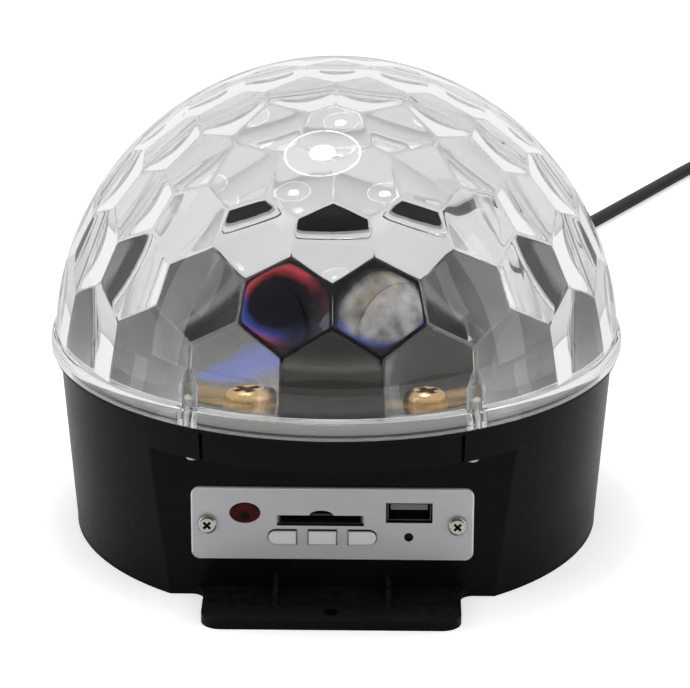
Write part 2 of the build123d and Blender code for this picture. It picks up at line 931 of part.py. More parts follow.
def chassis_plate():
    """Steel plate that carries the motor and the lamp unit."""
    shape = Circle(chassis_radius) & Rectangle(chassis_radius * 2, chassis_half_depth * 2)
    shape -= Circle(shaft_hole_radius + shaft_radius)
    for place in chassis_places():
        shape -= Pos(place.X, place.Y) * Circle(screw_radius + hole_clearance)
    for place in post_places():
        shape -= Pos(place.X, place.Y) * Circle(post_radius + cover_clearance)
    for side in (-1, 1):
        shape -= Pos(side * motor_ear_offset, 0) * Circle(screw_radius + hole_clearance)
    return Plane(origin=(0, 0, chassis_height)) * extrude(shape, amount=chassis_thickness)


def chassis_screws():
    """Four screws that hold the chassis plate up to its posts."""
    one = screw(screw_radius, screw_head_radius, chassis_screw_length - overrun)
    return Part() + [Pos(place.X, place.Y, chassis_height) * one for place in chassis_places()]


def heat_sink():
    """Round finned heat sink under the lamp board."""
    top = board_level
    sink = upright(sink_radius, top - sink_base, top)
    sink += upright(sink_core_radius, sink_bottom, top)
    fin_length = sink_radius - sink_core_radius + overrun
    fin = Box(fin_length, sink_fin_thickness, sink_height - sink_base / 2)
    fin = Pos(sink_radius - fin_length / 2, 0, 0) * fin
    fin = Pos(0, 0, sink_bottom + (sink_height - sink_base / 2) / 2) * fin
    sink += [Rot(0, 0, 360 / sink_fin_count * (step + 1 / 2)) * fin for step in range(sink_fin_count)]
    sink &= upright(sink_radius, sink_bottom, top)
    for side in (-1, 1):
        middle = Vector(side * motor_ear_offset, 0, 0)
        sink -= upright(screw_head_radius, sink_bottom, top - sink_base, middle)
    return sink - upright(shaft_hole_radius, sink_bottom - overrun, top + overrun)


def lamp_board():
    """Aluminium circuit board that carries the emitters."""
    board = upright(sink_radius, board_level, emitter_level)
    return board - upright(shaft_hole_radius, board_level - overrun, emitter_level + overrun)


def emitter(index):
    """One power emitter: a round body with a small dome."""
    place = around(emitter_count, emitter_circle_radius, first_emitter_azimuth, emitter_level)[index]
    body = extrude(Circle(emitter_radius), amount=emitter_body_height)
    body = chamfer(body.edges().group_by(Axis.Z)[-1], emitter_body_height / 4)
    cap = Sphere(emitter_dome_radius) & upright(emitter_radius, 0, emitter_dome_radius)
    return Pos(*place) * (body + Pos(0, 0, emitter_body_height) * cap)


def lens_holder():
    """Black round holder with a polished cup over each emitter."""
    radius = sink_radius + holder_wall
    holder = upright(radius, board_level, holder_top)
    holder = fillet(holder.edges().group_by(Axis.Z)[-1], holder_wall / 2)
    holder -= upright(sink_radius + hole_clearance, board_level - overrun, emitter_level)
    for place in around(emitter_count, emitter_circle_radius, first_emitter_azimuth, emitter_level):
        cup = turned([
            (0, 0),
            (cup_bottom_radius, 0),
            (cup_top_radius, holder_height),
            (cup_top_radius, holder_height + overrun),
            (0, holder_height + overrun),
        ])
        holder -= Pos(*place) * cup
    return holder - upright(shaft_hole_radius, board_level, holder_top + overrun)


def reflector_dish():
    """Bright dish from the deck down to the lens holder."""
    inner = sink_radius + holder_wall + dish_gap
    low = deck_top - dish_sag
    top = deck_top + dish_thickness
    outer = deck_opening_radius - dish_gap
    profile = [
        (inner, low),
        (inner + dish_thickness, low),
        (outer, deck_top),
        (dish_lip_radius, deck_top),
        (dish_lip_radius, top),
        (outer, top),
        (inner + dish_thickness, low + dish_thickness),
        (inner, low + dish_thickness),
    ]
    return turned(profile)


def turret_profile(inset):
    """Half outline of the turret's dome as radius and height pairs."""
    return [
        (turret_radius - inset, turret_bottom),
        (turret_radius - inset, turret_bottom + turret_skirt),
        (turret_shoulder_radius - inset, turret_bottom + turret_shoulder_height - inset / 2),
        (turret_crown_radius - inset / 2, turret_bottom + turret_height - inset),
    ]


def turret_window_planes():
    """Planes of the side windows, square to the sloping wall."""
    run = turret_radius - turret_shoulder_radius
    rise = turret_shoulder_height - turret_skirt
    tilt = math.degrees(math.atan2(run, rise))
    share = 1 / 2 + turret_window_raise / math.hypot(run, rise)
    distance = turret_radius - run * share
    height = turret_bottom + turret_skirt + rise * share
    planes = []
    for step in range(turret_side_windows):
        azimuth = turret_rest_azimuth + 360 / turret_side_windows * step
        outward = azimuth_point(math.cos(math.radians(tilt)), azimuth, math.sin(math.radians(tilt)))
        planes.append(Plane(origin=azimuth_point(distance, azimuth, height), z_dir=outward))
    return planes


def turret_top_plane():
    """Plane of the window in the turret's crown."""
    return Plane(origin=(0, 0, turret_bottom + turret_height))


def lens_turret():
    """Black rotating turret with stepped lens windows and a hub."""
    outer = turret_profile(0)
    inner = turret_profile(turret_wall)
    shell = turned([(0, turret_bottom)] + outer + [(0, turret_bottom + turret_height)])
    shell -= turned(
        [(0, turret_bottom - overrun), (turret_radius - turret_wall, turret_bottom - overrun)]
        + inner
        + [(0, turret_bottom + turret_height - turret_wall)]
    )
    for plane in turret_window_planes():
        seat = plane.offset(-turret_seat_depth)
        shell -= extrude(seat * Circle(turret_side_window_radius), amount=turret_seat_depth + overrun)
        bore = turret_side_window_radius - turret_seat_width
        shell -= extrude(plane.offset(-2 * turret_wall) * Circle(bore), amount=2 * turret_wall + overrun)
    post = upright(turret_post_radius, turret_bottom, turret_bottom + turret_height - turret_wall / 2)
    shell += post
    crown = turret_top_plane()
    top_window = crown.offset(-turret_seat_depth) * Circle(turret_top_window_radius)
    shell -= extrude(top_window, amount=turret_seat_depth + overrun)
    return shell - shaft_body(hole_clearance)


def turret_lenses():
    """Domed lenses seated in the turret's windows."""
    radius = turret_side_window_radius - lens_clearance
    side_lens = seated_lens(radius)
    lenses = [plane.offset(-turret_seat_depth).location * side_lens for plane in turret_window_planes()]
    top_lens = seated_lens(turret_top_window_radius - lens_clearance)
    lenses.append(turret_top_plane().offset(-turret_seat_depth).location * top_lens)
    return Part() + lenses


def seated_lens(radius):
    """Flat-backed lens with a domed front, its back at the origin."""
    bulge = turret_lens_bulge
    ball_radius = (radius**2 + bulge**2) / (2 * bulge)
    rim = turret_seat_depth
    ball = Pos(0, 0, rim + bulge - ball_radius) * Sphere(ball_radius)
    cylinder = extrude(Circle(radius), amount=rim + bulge)
    return cylinder & ball


def shaft_body(grow):
    """Motor shaft from the gearbox up into the turret's hub."""
    bottom = chassis_height - motor_thickness / 2
    top = turret_bottom + turret_height / 2 + grow
    shaft = upright(shaft_radius + grow, bottom, top)
    flat_start = turret_bottom
    flat = block(
        (shaft_radius - shaft_flat + grow, -shaft_radius - overrun, flat_start),
        (shaft_radius + overrun + grow, shaft_radius + overrun, top + overrun),
    )
    return shaft - flat


def gear_motor():
    """Flat round geared motor with two ears, under the chassis plate."""
    bottom = chassis_height - motor_thickness
    motor = upright(motor_radius, bottom, chassis_height - motor_ear_thickness)
    motor = fillet(motor.edges().group_by(Axis.Z)[0], motor_round)
    ears = make_hull(
        [
            *(Pos(-motor_ear_offset, 0) * Circle(motor_ear_radius)).edges(),
            *(Pos(motor_ear_offset, 0) * Circle(motor_ear_radius)).edges(),
        ]
    )
    ears += Circle(motor_radius)
    for side in (-1, 1):
        ears -= Pos(side * motor_ear_offset, 0) * Circle(screw_radius + hole_clearance)
    motor += Pos(0, 0, chassis_height - motor_ear_thickness) * extrude(ears, amount=motor_ear_thickness)
    motor += upright(motor_collar_radius, chassis_height - overrun, sink_bottom)
    bore_bottom = chassis_height - motor_thickness / 2 - overrun
    bore = upright(shaft_radius + shaft_clearance, bore_bottom, sink_bottom + overrun)
    return motor - bore


def motor_screws():
    """Two screws up through the motor's ears into the chassis plate."""
    one = screw(screw_radius, screw_head_radius, motor_screw_length)
    level = chassis_height - motor_ear_thickness
    return Part() + [Pos(side * motor_ear_offset, 0, level) * one for side in (-1, 1)]


def flat_board(side):
    """One of the two boards that lie over the bottom cover."""
    middle = side * power_board_offset
    board = block(
        (middle - power_board_width / 2, -power_board_length / 2, power_board_level),
        (middle + power_board_width / 2, power_board_length / 2, power_board_level + board_thickness),
    )
    return board


def power_board():
    """Mains supply board on the left."""
    return flat_board(-1)


def driver_board():
    """Driver board on the right with its flat chips."""
    board = flat_board(1)
    top = power_board_level + board_thickness
    for step in (-1, 1):
        chip = Box(chip_side, chip_side, chip_height, align=(Align.CENTER, Align.CENTER, Align.MIN))
        board += Pos(power_board_offset, step * power_board_length / 4, top) * chip
    return board


def transformer():
    """Small transformer with a wound middle on the supply board."""
    top = power_board_level + board_thickness
    place = Pos(-power_board_offset, power_board_length / 4, top)
    core = Pos(0, 0, transformer_height / 2) * Box(transformer_length, transformer_width, transformer_height)
    core = fillet(core.edges().filter_by(Axis.Z), edge_round)
    winding = Cylinder(transformer_window / 2, transformer_width + transformer_window / 2)
    return place * (core + Pos(0, 0, transformer_height / 2) * Rot(90, 0, 0) * winding)


def capacitors():
    """Two upright capacitors on the supply board."""
    top = power_board_level + board_thickness
    can = extrude(Circle(capacitor_radius), amount=capacitor_height)
    can = fillet(can.edges().group_by(Axis.Z)[-1], capacitor_radius / 6)
    offsets = [-capacitor_radius - overrun, capacitor_radius + overrun]
    return Part() + [Pos(-power_board_offset + x, -power_board_length / 4, top) * can for x in offsets]


def rear_turned(points):
    """Solid of revolution about the loudspeaker's axis, depth counted to the front."""
    spun = Rot(90, 0, 0) * turned(points)
    return Pos(0, speaker_seat_distance, speaker_height_up) * spun


def speaker_basket():
    """Loudspeaker frame and magnet behind the rear grille."""
    full_depth = speaker_basket_depth + speaker_magnet_depth
    profile = [
        (speaker_cone_radius, 0),
        (speaker_radius, 0),
        (speaker_radius, speaker_flange),
        (speaker_cone_radius + speaker_flange, speaker_flange),
        (speaker_magnet_radius, speaker_basket_depth),
        (speaker_magnet_radius, full_depth),
        (0, full_depth),
        (0, speaker_basket_depth - speaker_flange),
        (speaker_magnet_radius - speaker_flange, speaker_basket_depth - speaker_flange),
        (speaker_cone_radius - speaker_flange, speaker_flange),
        (speaker_cone_radius, speaker_flange),
    ]
    return rear_turned(profile)


def speaker_cone():
    """Paper cone with its round dust cap."""
    lip = speaker_cone_radius - hole_clearance
    throat = speaker_magnet_radius / 2
    depth = speaker_basket_depth / 2
    front = speaker_flange - speaker_cone_thickness
    profile = [
        (0, depth),
        (throat, depth),
        (lip - speaker_flange, front),
        (lip, front),
        (lip, speaker_flange),
        (lip - speaker_flange, speaker_flange),
        (throat, depth + speaker_cone_thickness),
        (0, depth + speaker_cone_thickness),
    ]
    return rear_turned(profile)


def strain_relief():
    """Tapered grooved strain relief at the back of the base."""
    seat = azimuth_plane(gland_seat_distance, gland_azimuth, gland_height_up)
    flange_top = gland_flange_thickness
    tail_end = flange_top + gland_tail_length
    tail_start_radius = (gland_flange_radius + gland_tail_radius) / 2
    profile = [
        (0, -gland_inside_length),
        (gland_hole_radius - hole_clearance, -gland_inside_length),
        (gland_hole_radius - hole_clearance, 0),
        (gland_flange_radius, 0),
        (gland_flange_radius, flange_top),
        (tail_start_radius, flange_top),
        (gland_tail_radius, tail_end),
        (0, tail_end),
    ]
    body = turned(profile)
    pitch = gland_tail_length / (gland_groove_count + 1)
    for step in range(gland_groove_count):
        level = flange_top + pitch * (step + 1)
        share = (level - flange_top) / gland_tail_length
        radius = tail_start_radius + (gland_tail_radius - tail_start_radius) * share
        ring = Circle(gland_flange_radius) - Circle(radius - gland_groove_depth)
        body -= Pos(0, 0, level - gland_groove_width / 2) * extrude(ring, amount=gland_groove_width)
    return seat.location * body


def gland_end():
    """Middle of the strain relief's outer end."""
    return azimuth_point(
        gland_seat_distance + gland_flange_thickness + gland_tail_length, gland_azimuth, gland_height_up
    )


def cord_points():
    """Corner points of the lead from the gland to the coil."""
    start = gland_end()
    points = [start, start + azimuth_point(cord_first_run, gland_azimuth)]
    points += [Vector(*point) for point in cord_route_on_floor]
    heading = (points[-1] - points[-2]).normalized()
    return points + [points[-1] + heading.rotate(Axis.Z, cord_last_turn) * cord_last_run]


def smooth_radii(points):
    """Largest arc at each corner that both of its runs allow."""
    radii = []
    for before, corner, after in zip(points, points[1:], points[2:]):
        turn = math.radians((corner - before).get_angle(after - corner))
        run = min((corner - before).length, (after - corner).length)
        radii.append(smooth_run_share * run / math.tan(turn / 2))
    return radii


def swept_cord(path):
    """Round tube along a path."""
    section = Plane(origin=path @ 0, z_dir=path % 0) * Circle(cord_diameter / 2)
    return sweep(section, path=path)


def cord_tube(points, name):
    """Tube along straight runs joined by tangent arcs, with its radii printed."""
    radii = smooth_radii(points)
    path = FilletPolyline(*points, radius=radii)
    tube = swept_cord(path)
    expected = math.pi * (cord_diameter / 2) ** 2 * path.length
    print(name, "radii", [round(radius) for radius in radii], "length", round(path.length, 1))
    print(name, "volume over section times length", round(tube.volume / expected, 4))
    return tube


def cord():
    """Lead from the strain relief to the coil."""
    return cord_tube(cord_points(), "cord")


def coil_start():
    """Where the coil's first stub begins, and the way that it points."""
    points = cord_points()
    heading = (points[-1] - points[-2]).normalized()
    return points[-1], heading


def coil_centre():
    """Middle of the coil, on the right of the arriving lead."""
    start, heading = coil_start()
    right = Vector(heading.Y, -heading.X, 0)
    return start + heading * cord_diameter + right * coil_outer_radius


def coil_point(turn):
    """Point of the coil's centre line after a number of turns."""
    pitch = cord_diameter + cord_gap
    climb = min(max((turn - coil_turns_in) * 2, 0), 1)
    ease = climb * climb * (3 - 2 * climb)
    innermost = coil_turns_in + 1 / 4
    radius = coil_outer_radius - pitch * (innermost - abs(turn - innermost))
    heading = coil_start()[1]
    first = math.atan2(heading.X, -heading.Y)
    angle = first - 2 * math.pi * turn
    centre = coil_centre()
    height = cord_rest_height + pitch * ease
    return Vector(centre.X + radius * math.cos(angle), centre.Y + radius * math.sin(angle), height)


def coil_turn_count():
    """All turns of the coil, with the climbing half turn."""
    return coil_turns_in + 1 / 2 + coil_turns_out


def coil_tangent(turn):
    """Direction of the coil's centre line, from two points close beside it."""
    step = 1e-4
    low = max(turn - step, 0)
    high = min(turn + step, coil_turn_count())
    way = coil_point(high) - coil_point(low)
    nearest = min(abs(turn - stop) for stop in (0, coil_turns_in, coil_turns_in + 1 / 2, coil_turn_count()))
    if nearest < step:
        way = Vector(way.X, way.Y, 0)
    return way.normalized()


def biarc(start, start_way, end, end_way):
    """Two arcs that leave along one direction and arrive along another."""
    chord = end - start
    both = start_way + end_way
    square = 2 * (1 - start_way.dot(end_way))
    reach = chord.dot(both)
    root = math.sqrt(reach**2 + square * chord.dot(chord))
    handle = (root - reach) / square
    joint = (start + start_way * handle + end - end_way * handle) * (1 / 2)
    first = TangentArc(start, joint, tangent=start_way)
    return [first, TangentArc(joint, end, tangent=first % 1)]


def coil_path():
    """Unbroken centre line of the coil with a straight stub at each end."""
    start, heading = coil_start()
    steps = round(coil_turn_count() * 4)
    turns = [coil_turn_count() * step / steps for step in range(steps + 1)]
    points = [coil_point(turn) for turn in turns]
    ways = [coil_tangent(turn) for turn in turns]
    ways[0] = heading
    edges = [Line(start, points[0])]
    for step in range(steps):
        edges += biarc(points[step], ways[step], points[step + 1], ways[step + 1])
    edges.append(Line(points[-1], points[-1] + ways[-1] * cord_diameter))
    return Wire([edge for piece in edges for edge in piece.edges()])


def coil_least_gap():
    """Least free gap between any two turns of the coil."""
    samples = round(coil_turn_count() * 72)
    points = [coil_point(coil_turn_count() * step / samples) for step in range(samples + 1)]
    least = coil_outer_radius
    for i, one in enumerate(points):
        for other in points[i + 36:]:
            least = min(least, (one - other).length)
    return least - cord_diameter


def cord_coil():
    """Put-away turns of the lead: two layers, in and out again."""
    path = coil_path()
    tube = swept_cord(path)
    expected = math.pi * (cord_diameter / 2) ** 2 * path.length
    print("coil length", round(path.length, 1), "least gap", round(coil_least_gap(), 2))
    print("coil volume over section times length", round(tube.volume / expected, 4))
    return tube


def tail_points():
    """Corner points of the short stretch from the coil to the plug."""
    way = coil_tangent(coil_turn_count())
    start = coil_point(coil_turn_count()) + way * cord_diameter
    points = [start, start + way * tail_runs[0]]
    drop = Vector(0, 0, plug_thickness / 2 - start.Z)
    way = way.rotate(Axis.Z, tail_turns[0])
    points.append(points[-1] + way * tail_runs[1] + drop)
    way = way.rotate(Axis.Z, tail_turns[1])
    return points + [points[-1] + way * tail_runs[2]]


def cord_tail():
    """Short stretch of the lead from the coil to the plug."""
    return cord_tube(tail_points(), "tail")


def plug_frame():
    """Frame of the plug: its z axis runs from the lead to the pins."""
    points = tail_points()
    way = (points[-1] - points[-2]).normalized()
    return Plane(origin=points[-1], x_dir=(way.Y, -way.X, 0), z_dir=way)


def plug_body():
    """Moulded two-pin plug with a grooved grip where the lead enters."""
    frame = plug_frame()
    front = RectangleRounded(plug_width, plug_thickness, plug_corner_radius)
    neck = RectangleRounded(plug_neck_width, plug_thickness - plug_corner_radius, plug_corner_radius)
    body = loft([Plane(origin=(0, 0, plug_grip_length)) * neck, Plane(origin=(0, 0, plug_length)) * front])
    grip = extrude(Circle(plug_grip_radius), amount=plug_grip_length)
    ring = Circle(plug_grip_radius) - Circle(plug_grip_radius - gland_groove_depth)
    for step in range(3):
        level = plug_grip_length * (step + 1) / 4 - gland_groove_width / 2
        grip -= Plane(origin=(0, 0, level)) * extrude(ring, amount=gland_groove_width)
    return frame.location * (body + grip)


def plug_pins():
    """Two round pins with domed tips."""
    pin = extrude(Circle(plug_pin_radius), amount=plug_pin_length)
    pin = fillet(pin.edges().group_by(Axis.Z)[-1], plug_pin_radius / 2)
    pins = [Pos(side * plug_pin_spacing / 2, 0, plug_length) * pin for side in (-1, 1)]
    return plug_frame().location * (Part() + pins)


def motor_shaft():
    """Motor shaft with a flat that drives the turret."""
    return shaft_body(0)


emitter_colours = ["red", "green", "blue", "amber", "white", "violet"]

makers = {
    "base_housing": base_housing,
    "bottom_cover": bottom_cover,
    "dome": dome,
    "dome_screws": dome_screws,
    "cover_screws": cover_screws,
    "control_panel": control_panel,
    "panel_screws": panel_screws,
    "ir_window": ir_window,
    "ir_receiver": ir_receiver,
    "card_socket": card_socket,
    "usb_shell": usb_shell,
    "usb_tongue": usb_tongue,
    "microphone": microphone,
    "player_board": player_board,
    "player_chips": player_chips,
    "tact_switches": switches,
    "reflector_dish": reflector_dish,
    "lens_holder": lens_holder,
    "lamp_board": lamp_board,
    "heat_sink": heat_sink,
    "chassis_plate": chassis_plate,
    "chassis_screws": chassis_screws,
    "gear_motor": gear_motor,
    "motor_screws": motor_screws,
    "motor_shaft": motor_shaft,
    "lens_turret": lens_turret,
    "turret_lenses": turret_lenses,
    "power_board": power_board,
    "driver_board": driver_board,
    "transformer": transformer,
    "capacitors": capacitors,
    "speaker_basket": speaker_basket,
    "speaker_cone": speaker_cone,
    "strain_relief": strain_relief,
    "cord": cord,
    "cord_coil": cord_coil,
    "cord_tail": cord_tail,
    "plug_body": plug_body,
    "plug_pins": plug_pins,
}

os.makedirs("parts", exist_ok=True)
for node, make in makers.items():
    export_step(make(), f"parts/{node}.step")
for index, name in zip((-1, 0, 1), ("button_previous", "button_play", "button_next")):
    export_step(push_button(index), f"parts/{name}.step")
for index, colour in enumerate(emitter_colours):
    export_step(emitter(index), f"parts/emitter_{colour}.step")
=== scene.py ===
import math

import bmesh
import bpy
from mathutils import Matrix, Vector


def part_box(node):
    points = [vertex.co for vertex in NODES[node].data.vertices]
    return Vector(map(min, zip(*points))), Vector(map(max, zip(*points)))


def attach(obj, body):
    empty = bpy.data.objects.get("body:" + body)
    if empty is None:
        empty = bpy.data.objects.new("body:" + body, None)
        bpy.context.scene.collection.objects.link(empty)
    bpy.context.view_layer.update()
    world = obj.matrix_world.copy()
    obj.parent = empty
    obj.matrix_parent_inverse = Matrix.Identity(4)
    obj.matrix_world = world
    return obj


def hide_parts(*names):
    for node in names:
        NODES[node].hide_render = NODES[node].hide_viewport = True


bl_info = {
    "name": "Table disco light dressing",
    "version": (1, 0, 0),
    "blender": (4, 5, 0),
    "location": "3D View > Sidebar > Disco light",
    "description": "Builds the faceted lens dome, the lead and the finishes of a table disco light",
    "category": "Object",
}

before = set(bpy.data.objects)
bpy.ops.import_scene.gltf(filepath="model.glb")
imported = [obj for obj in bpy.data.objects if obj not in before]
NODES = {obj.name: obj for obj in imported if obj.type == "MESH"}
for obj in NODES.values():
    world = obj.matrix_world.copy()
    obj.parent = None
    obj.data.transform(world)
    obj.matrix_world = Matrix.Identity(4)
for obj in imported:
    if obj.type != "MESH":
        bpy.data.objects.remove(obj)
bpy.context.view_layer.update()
FLANGE_LOW, FLANGE_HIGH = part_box("dome")
PANEL_LOW, PANEL_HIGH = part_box("control_panel")

MM = 0.001
FULL_TURN = 2 * math.pi
QUARTER_TURN = math.pi / 2


# Kinds of settings
def length_setting(name, description, default):
    """Length in metres."""
    return bpy.props.FloatProperty(name=name, description=description, default=default,
                                   subtype="DISTANCE", unit="LENGTH", precision=5)


def angle_setting(name, description, default):
    """Angle in radians."""
    return bpy.props.FloatProperty(name=name, description=description, default=default,
                                   subtype="ANGLE", unit="ROTATION")


def number_setting(name, description, default, low, high):
    """Number between two limits."""
    return bpy.props.FloatProperty(name=name, description=description, default=default, min=low, max=high)


def count_setting(name, description, default, low, high):
    """Whole number between two limits."""
    return bpy.props.IntProperty(name=name, description=description, default=default, min=low, max=high)


def colour_setting(name, description, default):
    """Colour of a finish."""
    return bpy.props.FloatVectorProperty(name=name, description=description, default=default,
                                         size=3, min=0.0, max=1.0, subtype="COLOR")


# Settings
class LensDomeSettings(bpy.types.PropertyGroup):
    """Sizes of the clear dome and of the lenses on its inside."""

    outer_radius: length_setting("Outer radius", "Radius of the smooth outside of the dome", 88.75 * MM)
    flange_radius: length_setting("Flange radius", "Radius of the flange on the base", FLANGE_HIGH.x)
    flange_height: length_setting("Flange height", "Height of the flange above the base", 5.2 * MM)
    flange_wall: length_setting("Flange wall", "Thickness of the ring under the lenses", 6.0 * MM)
    edge_bevel: length_setting("Flange edge bevel", "Width of the small bevel on the flange edges", 0.45 * MM)
    flange_round: length_setting("Flange round", "Height of the rounded top of the flange", 2.6 * MM)
    seat_gap: length_setting("Seat gap", "Thin air gap between the flange and the base", 0.08 * MM)
    lens_wall: length_setting("Lens wall", "Thickness of the dome in the middle of a lens", 5.85 * MM)
    lens_radius: length_setting("Lens radius", "Radius of the curved inner face of each lens", 85.0 * MM)
    thinnest: length_setting("Thinnest wall", "Least thickness left where four lenses meet", 0.55 * MM)
    border_softness: length_setting("Border softness", "How far the groove between two lenses is rounded",
                                    0.14 * MM)
    lens_rings: count_setting("Rings per lens", "Rings of faces from the middle of a lens to its border",
                              7, 3, 16)
    border_step: angle_setting("Border step", "Angle between neighbouring points on a lens border",
                               math.radians(2.2))


class SeatSettings(bpy.types.PropertyGroup):
    """Sizes of the collar and the gasket inside the dome's flange."""

    clearance: length_setting("Clearance", "Gap between the collar and the flange", 0.25 * MM)
    width: length_setting("Width", "Radial width of the collar", 1.8 * MM)
    collar_height: length_setting("Collar height", "Height of the collar above the deck", 4.0 * MM)
    gasket_height: length_setting("Gasket height", "Thickness of the gasket on the collar", 0.9 * MM)
    sleeve_width: length_setting("Sleeve width", "Thickness of the gasket between the collar and the flange",
                                 0.6 * MM)
    sleeve_foot: length_setting("Sleeve foot", "Height at which that part of the gasket ends above the deck",
                                0.5 * MM)
    post_gap: length_setting("Gap at the posts", "Room that the collar leaves at each side of a screw post",
                             0.4 * MM)
    lip: length_setting("Gasket lip", "How far the gasket reaches inwards past the collar", 0.2 * MM)
    bevel: length_setting("Bevel", "Width of the bevel on the edges", 0.15 * MM)


class ScrewPostSettings(bpy.types.PropertyGroup):
    """Sizes of the clear posts that take the dome's screws."""

    count: count_setting("Posts", "Number of clear posts round the dome", 6, 1, 12)
    first_azimuth: angle_setting("First azimuth", "Angle of the first post from the front", math.radians(30))
    circle_radius: length_setting("Post circle", "Radius of the circle on which the posts stand", 83.0 * MM)
    radius: length_setting("Post radius", "Radius of one post", 3.0 * MM)
    height: length_setting("Post height", "Height of the round part of a post", 10.7 * MM)
    tip_height: length_setting("Tip height", "Height of the tapered tip over the post", 5.0 * MM)
    tip_radius: length_setting("Tip radius", "Radius at the very top of the tip", 1.2 * MM)
    rib_height: length_setting("Rib height", "Height of the thin rib on the wall above a post", 25.0 * MM)
    rib_width: length_setting("Rib width", "Thickness of the rib", 1.3 * MM)
    rib_depth: length_setting("Rib depth", "How far the rib reaches inwards", 4.4 * MM)


class LeadSettings(bpy.types.PropertyGroup):
    """Sizes of the mains lead and of its put-away coil."""

    diameter: length_setting("Lead diameter", "Diameter over the sheath", 5.2 * MM)
    rest_height: length_setting("Rest height", "Height of the middle of the lead above the floor", 2.65 * MM)
    coil_radius: length_setting("Coil radius", "Radius of the outermost turn", 34.8 * MM)
    pitch: length_setting("Turn pitch", "Distance between the middles of neighbouring turns", 5.8 * MM)
    turns_in: number_setting("Turns inwards", "Turns that wind inwards on the floor", 2.0, 1.0, 4.0)
    turns_out: number_setting("Turns outwards", "Turns that wind outwards on top", 2.5, 1.0, 4.0)
    points_per_turn: count_setting("Points per turn", "Control points on each turn of the coil", 24, 12, 48)


class DishScrewSettings(bpy.types.PropertyGroup):
    """Sizes and places of the brass screws on the dish."""

    circle_radius: length_setting("Screw circle", "Radius of the circle on which the screws stand", 52.0 * MM)
    spread: angle_setting("Spread", "Angle of each screw from the front or the back", math.radians(33.0))
    level_share: number_setting(
        "Level share", "Height of the seat between the bottom of the dish and the deck", 0.70, 0.0, 1.0)
    head_radius: length_setting("Head radius", "Radius of a screw head", 3.2 * MM)
    head_height: length_setting("Head height", "Height of a screw head", 2.6 * MM)
    recess_width: length_setting("Recess width", "Width of each arm of the cross recess", 1.2 * MM)
    recess_depth: length_setting("Recess depth", "Depth of the cross recess", 1.3 * MM)
    recess_turn: angle_setting("Recess turn", "Angle at which the cross recess came to rest", 0.6)


class FinishSettings(bpy.types.PropertyGroup):
    """Colours of the main finishes."""

    housing: colour_setting("Housing", "Colour of the satin black base", (0.0018, 0.0018, 0.0022))
    panel: colour_setting("Panel", "Colour of the brushed front panel", (0.60, 0.60, 0.62))
    buttons: colour_setting("Buttons", "Colour of the silver grey buttons", (0.80, 0.80, 0.83))
    board: colour_setting("Circuit board", "Colour of the solder mask on the boards", (0.012, 0.105, 0.035))


class StudioSettings(bpy.types.PropertyGroup):
    """Camera and lamps of the studio."""

    lens: number_setting("Lens", "Focal length of the camera in millimetres", 163.02, 20.0, 400.0)
    camera_place: bpy.props.FloatVectorProperty(
        name="Camera place",
        description="Where the camera stands",
        default=(0.01553, -0.93136, 0.39913),
        size=3,
        subtype="TRANSLATION",
        unit="LENGTH",
    )
    camera_aim: bpy.props.FloatVectorProperty(
        name="Camera direction",
        description="Direction in which the camera looks",
        default=(-0.012921, 0.938426, -0.345238),
        size=3,
        subtype="DIRECTION",
    )
    camera_roll: angle_setting(
        "Camera roll", "Turn of the camera about its own line of sight", math.radians(0.17))
    fill: number_setting("Room light", "Strength of the light that comes from all round", 0.62, 0.0, 2.0)
    ceiling: number_setting("Ceiling brightness", "Brightness of the ceiling that shows in gloss and glass",
                            0.55, 0.0, 1.0)
    front: number_setting("Front brightness",
                          "Brightness of the room behind the camera that shows in gloss and glass",
                          0.04, 0.0, 1.0)
    lamp_height: length_setting("Lamp height", "Distance from the dome to the round lamp above it", 1.2)
    lamp_radius: length_setting("Lamp radius", "Radius of the round lamp", 0.255)


# Object tools
def link(obj):
    """Puts a new object into the scene."""
    bpy.context.scene.collection.objects.link(obj)
    return obj


def mesh_piece(name, points, faces):
    """Object at the origin whose place is in its mesh."""
    mesh = bpy.data.meshes.new(name)
    mesh.from_pydata([tuple(p) for p in points], [], [tuple(f) for f in faces])
    mesh.validate()
    mesh.update()
    return link(bpy.data.objects.new(name, mesh))


def piece_from(shape, name):
    """Object at the origin that takes over a bmesh."""
    mesh = bpy.data.meshes.new(name)
    shape.to_mesh(mesh)
    shape.free()
    return link(bpy.data.objects.new(name, mesh))


def paint(material, *things):
    """Gives one finish to every material slot of some objects, or of the nodes with these names."""
    for thing in things:
        obj = NODES[thing] if isinstance(thing, str) else thing
        if not obj.material_slots:
            obj.data.materials.append(material)
        for slot in obj.material_slots:
            slot.material = material


def settle(piece):
    """Fixes a new piece to the base."""
    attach(piece, "base")


def front_point(distance, azimuth, height):
    """Point at an azimuth in degrees that is counted from the front towards +X."""
    turn = math.radians(azimuth)
    return Vector((distance * math.sin(turn), -distance * math.cos(turn), height))


def bake_modifiers(obj):
    """Turns the evaluated object into its own plain mesh."""
    graph = bpy.context.evaluated_depsgraph_get()
    mesh = bpy.data.meshes.new_from_object(obj.evaluated_get(graph))
    obj.modifiers.clear()
    obj.data = mesh
    return obj


# Node tools
def tree_of(*values):
    """Node tree of the first socket among some values."""
    return next(value.id_data for value in values if isinstance(value, bpy.types.NodeSocket))


def feed(node, values):
    """Sets a node's inputs to plain values, or links them to the outputs of other nodes."""
    for label, value in values.items():
        socket = node.inputs[label]
        if isinstance(value, bpy.types.NodeSocket):
            node.id_data.links.new(value, socket)
        elif socket.type == "RGBA":
            socket.default_value = (*value, 1.0)
        else:
            socket.default_value = value


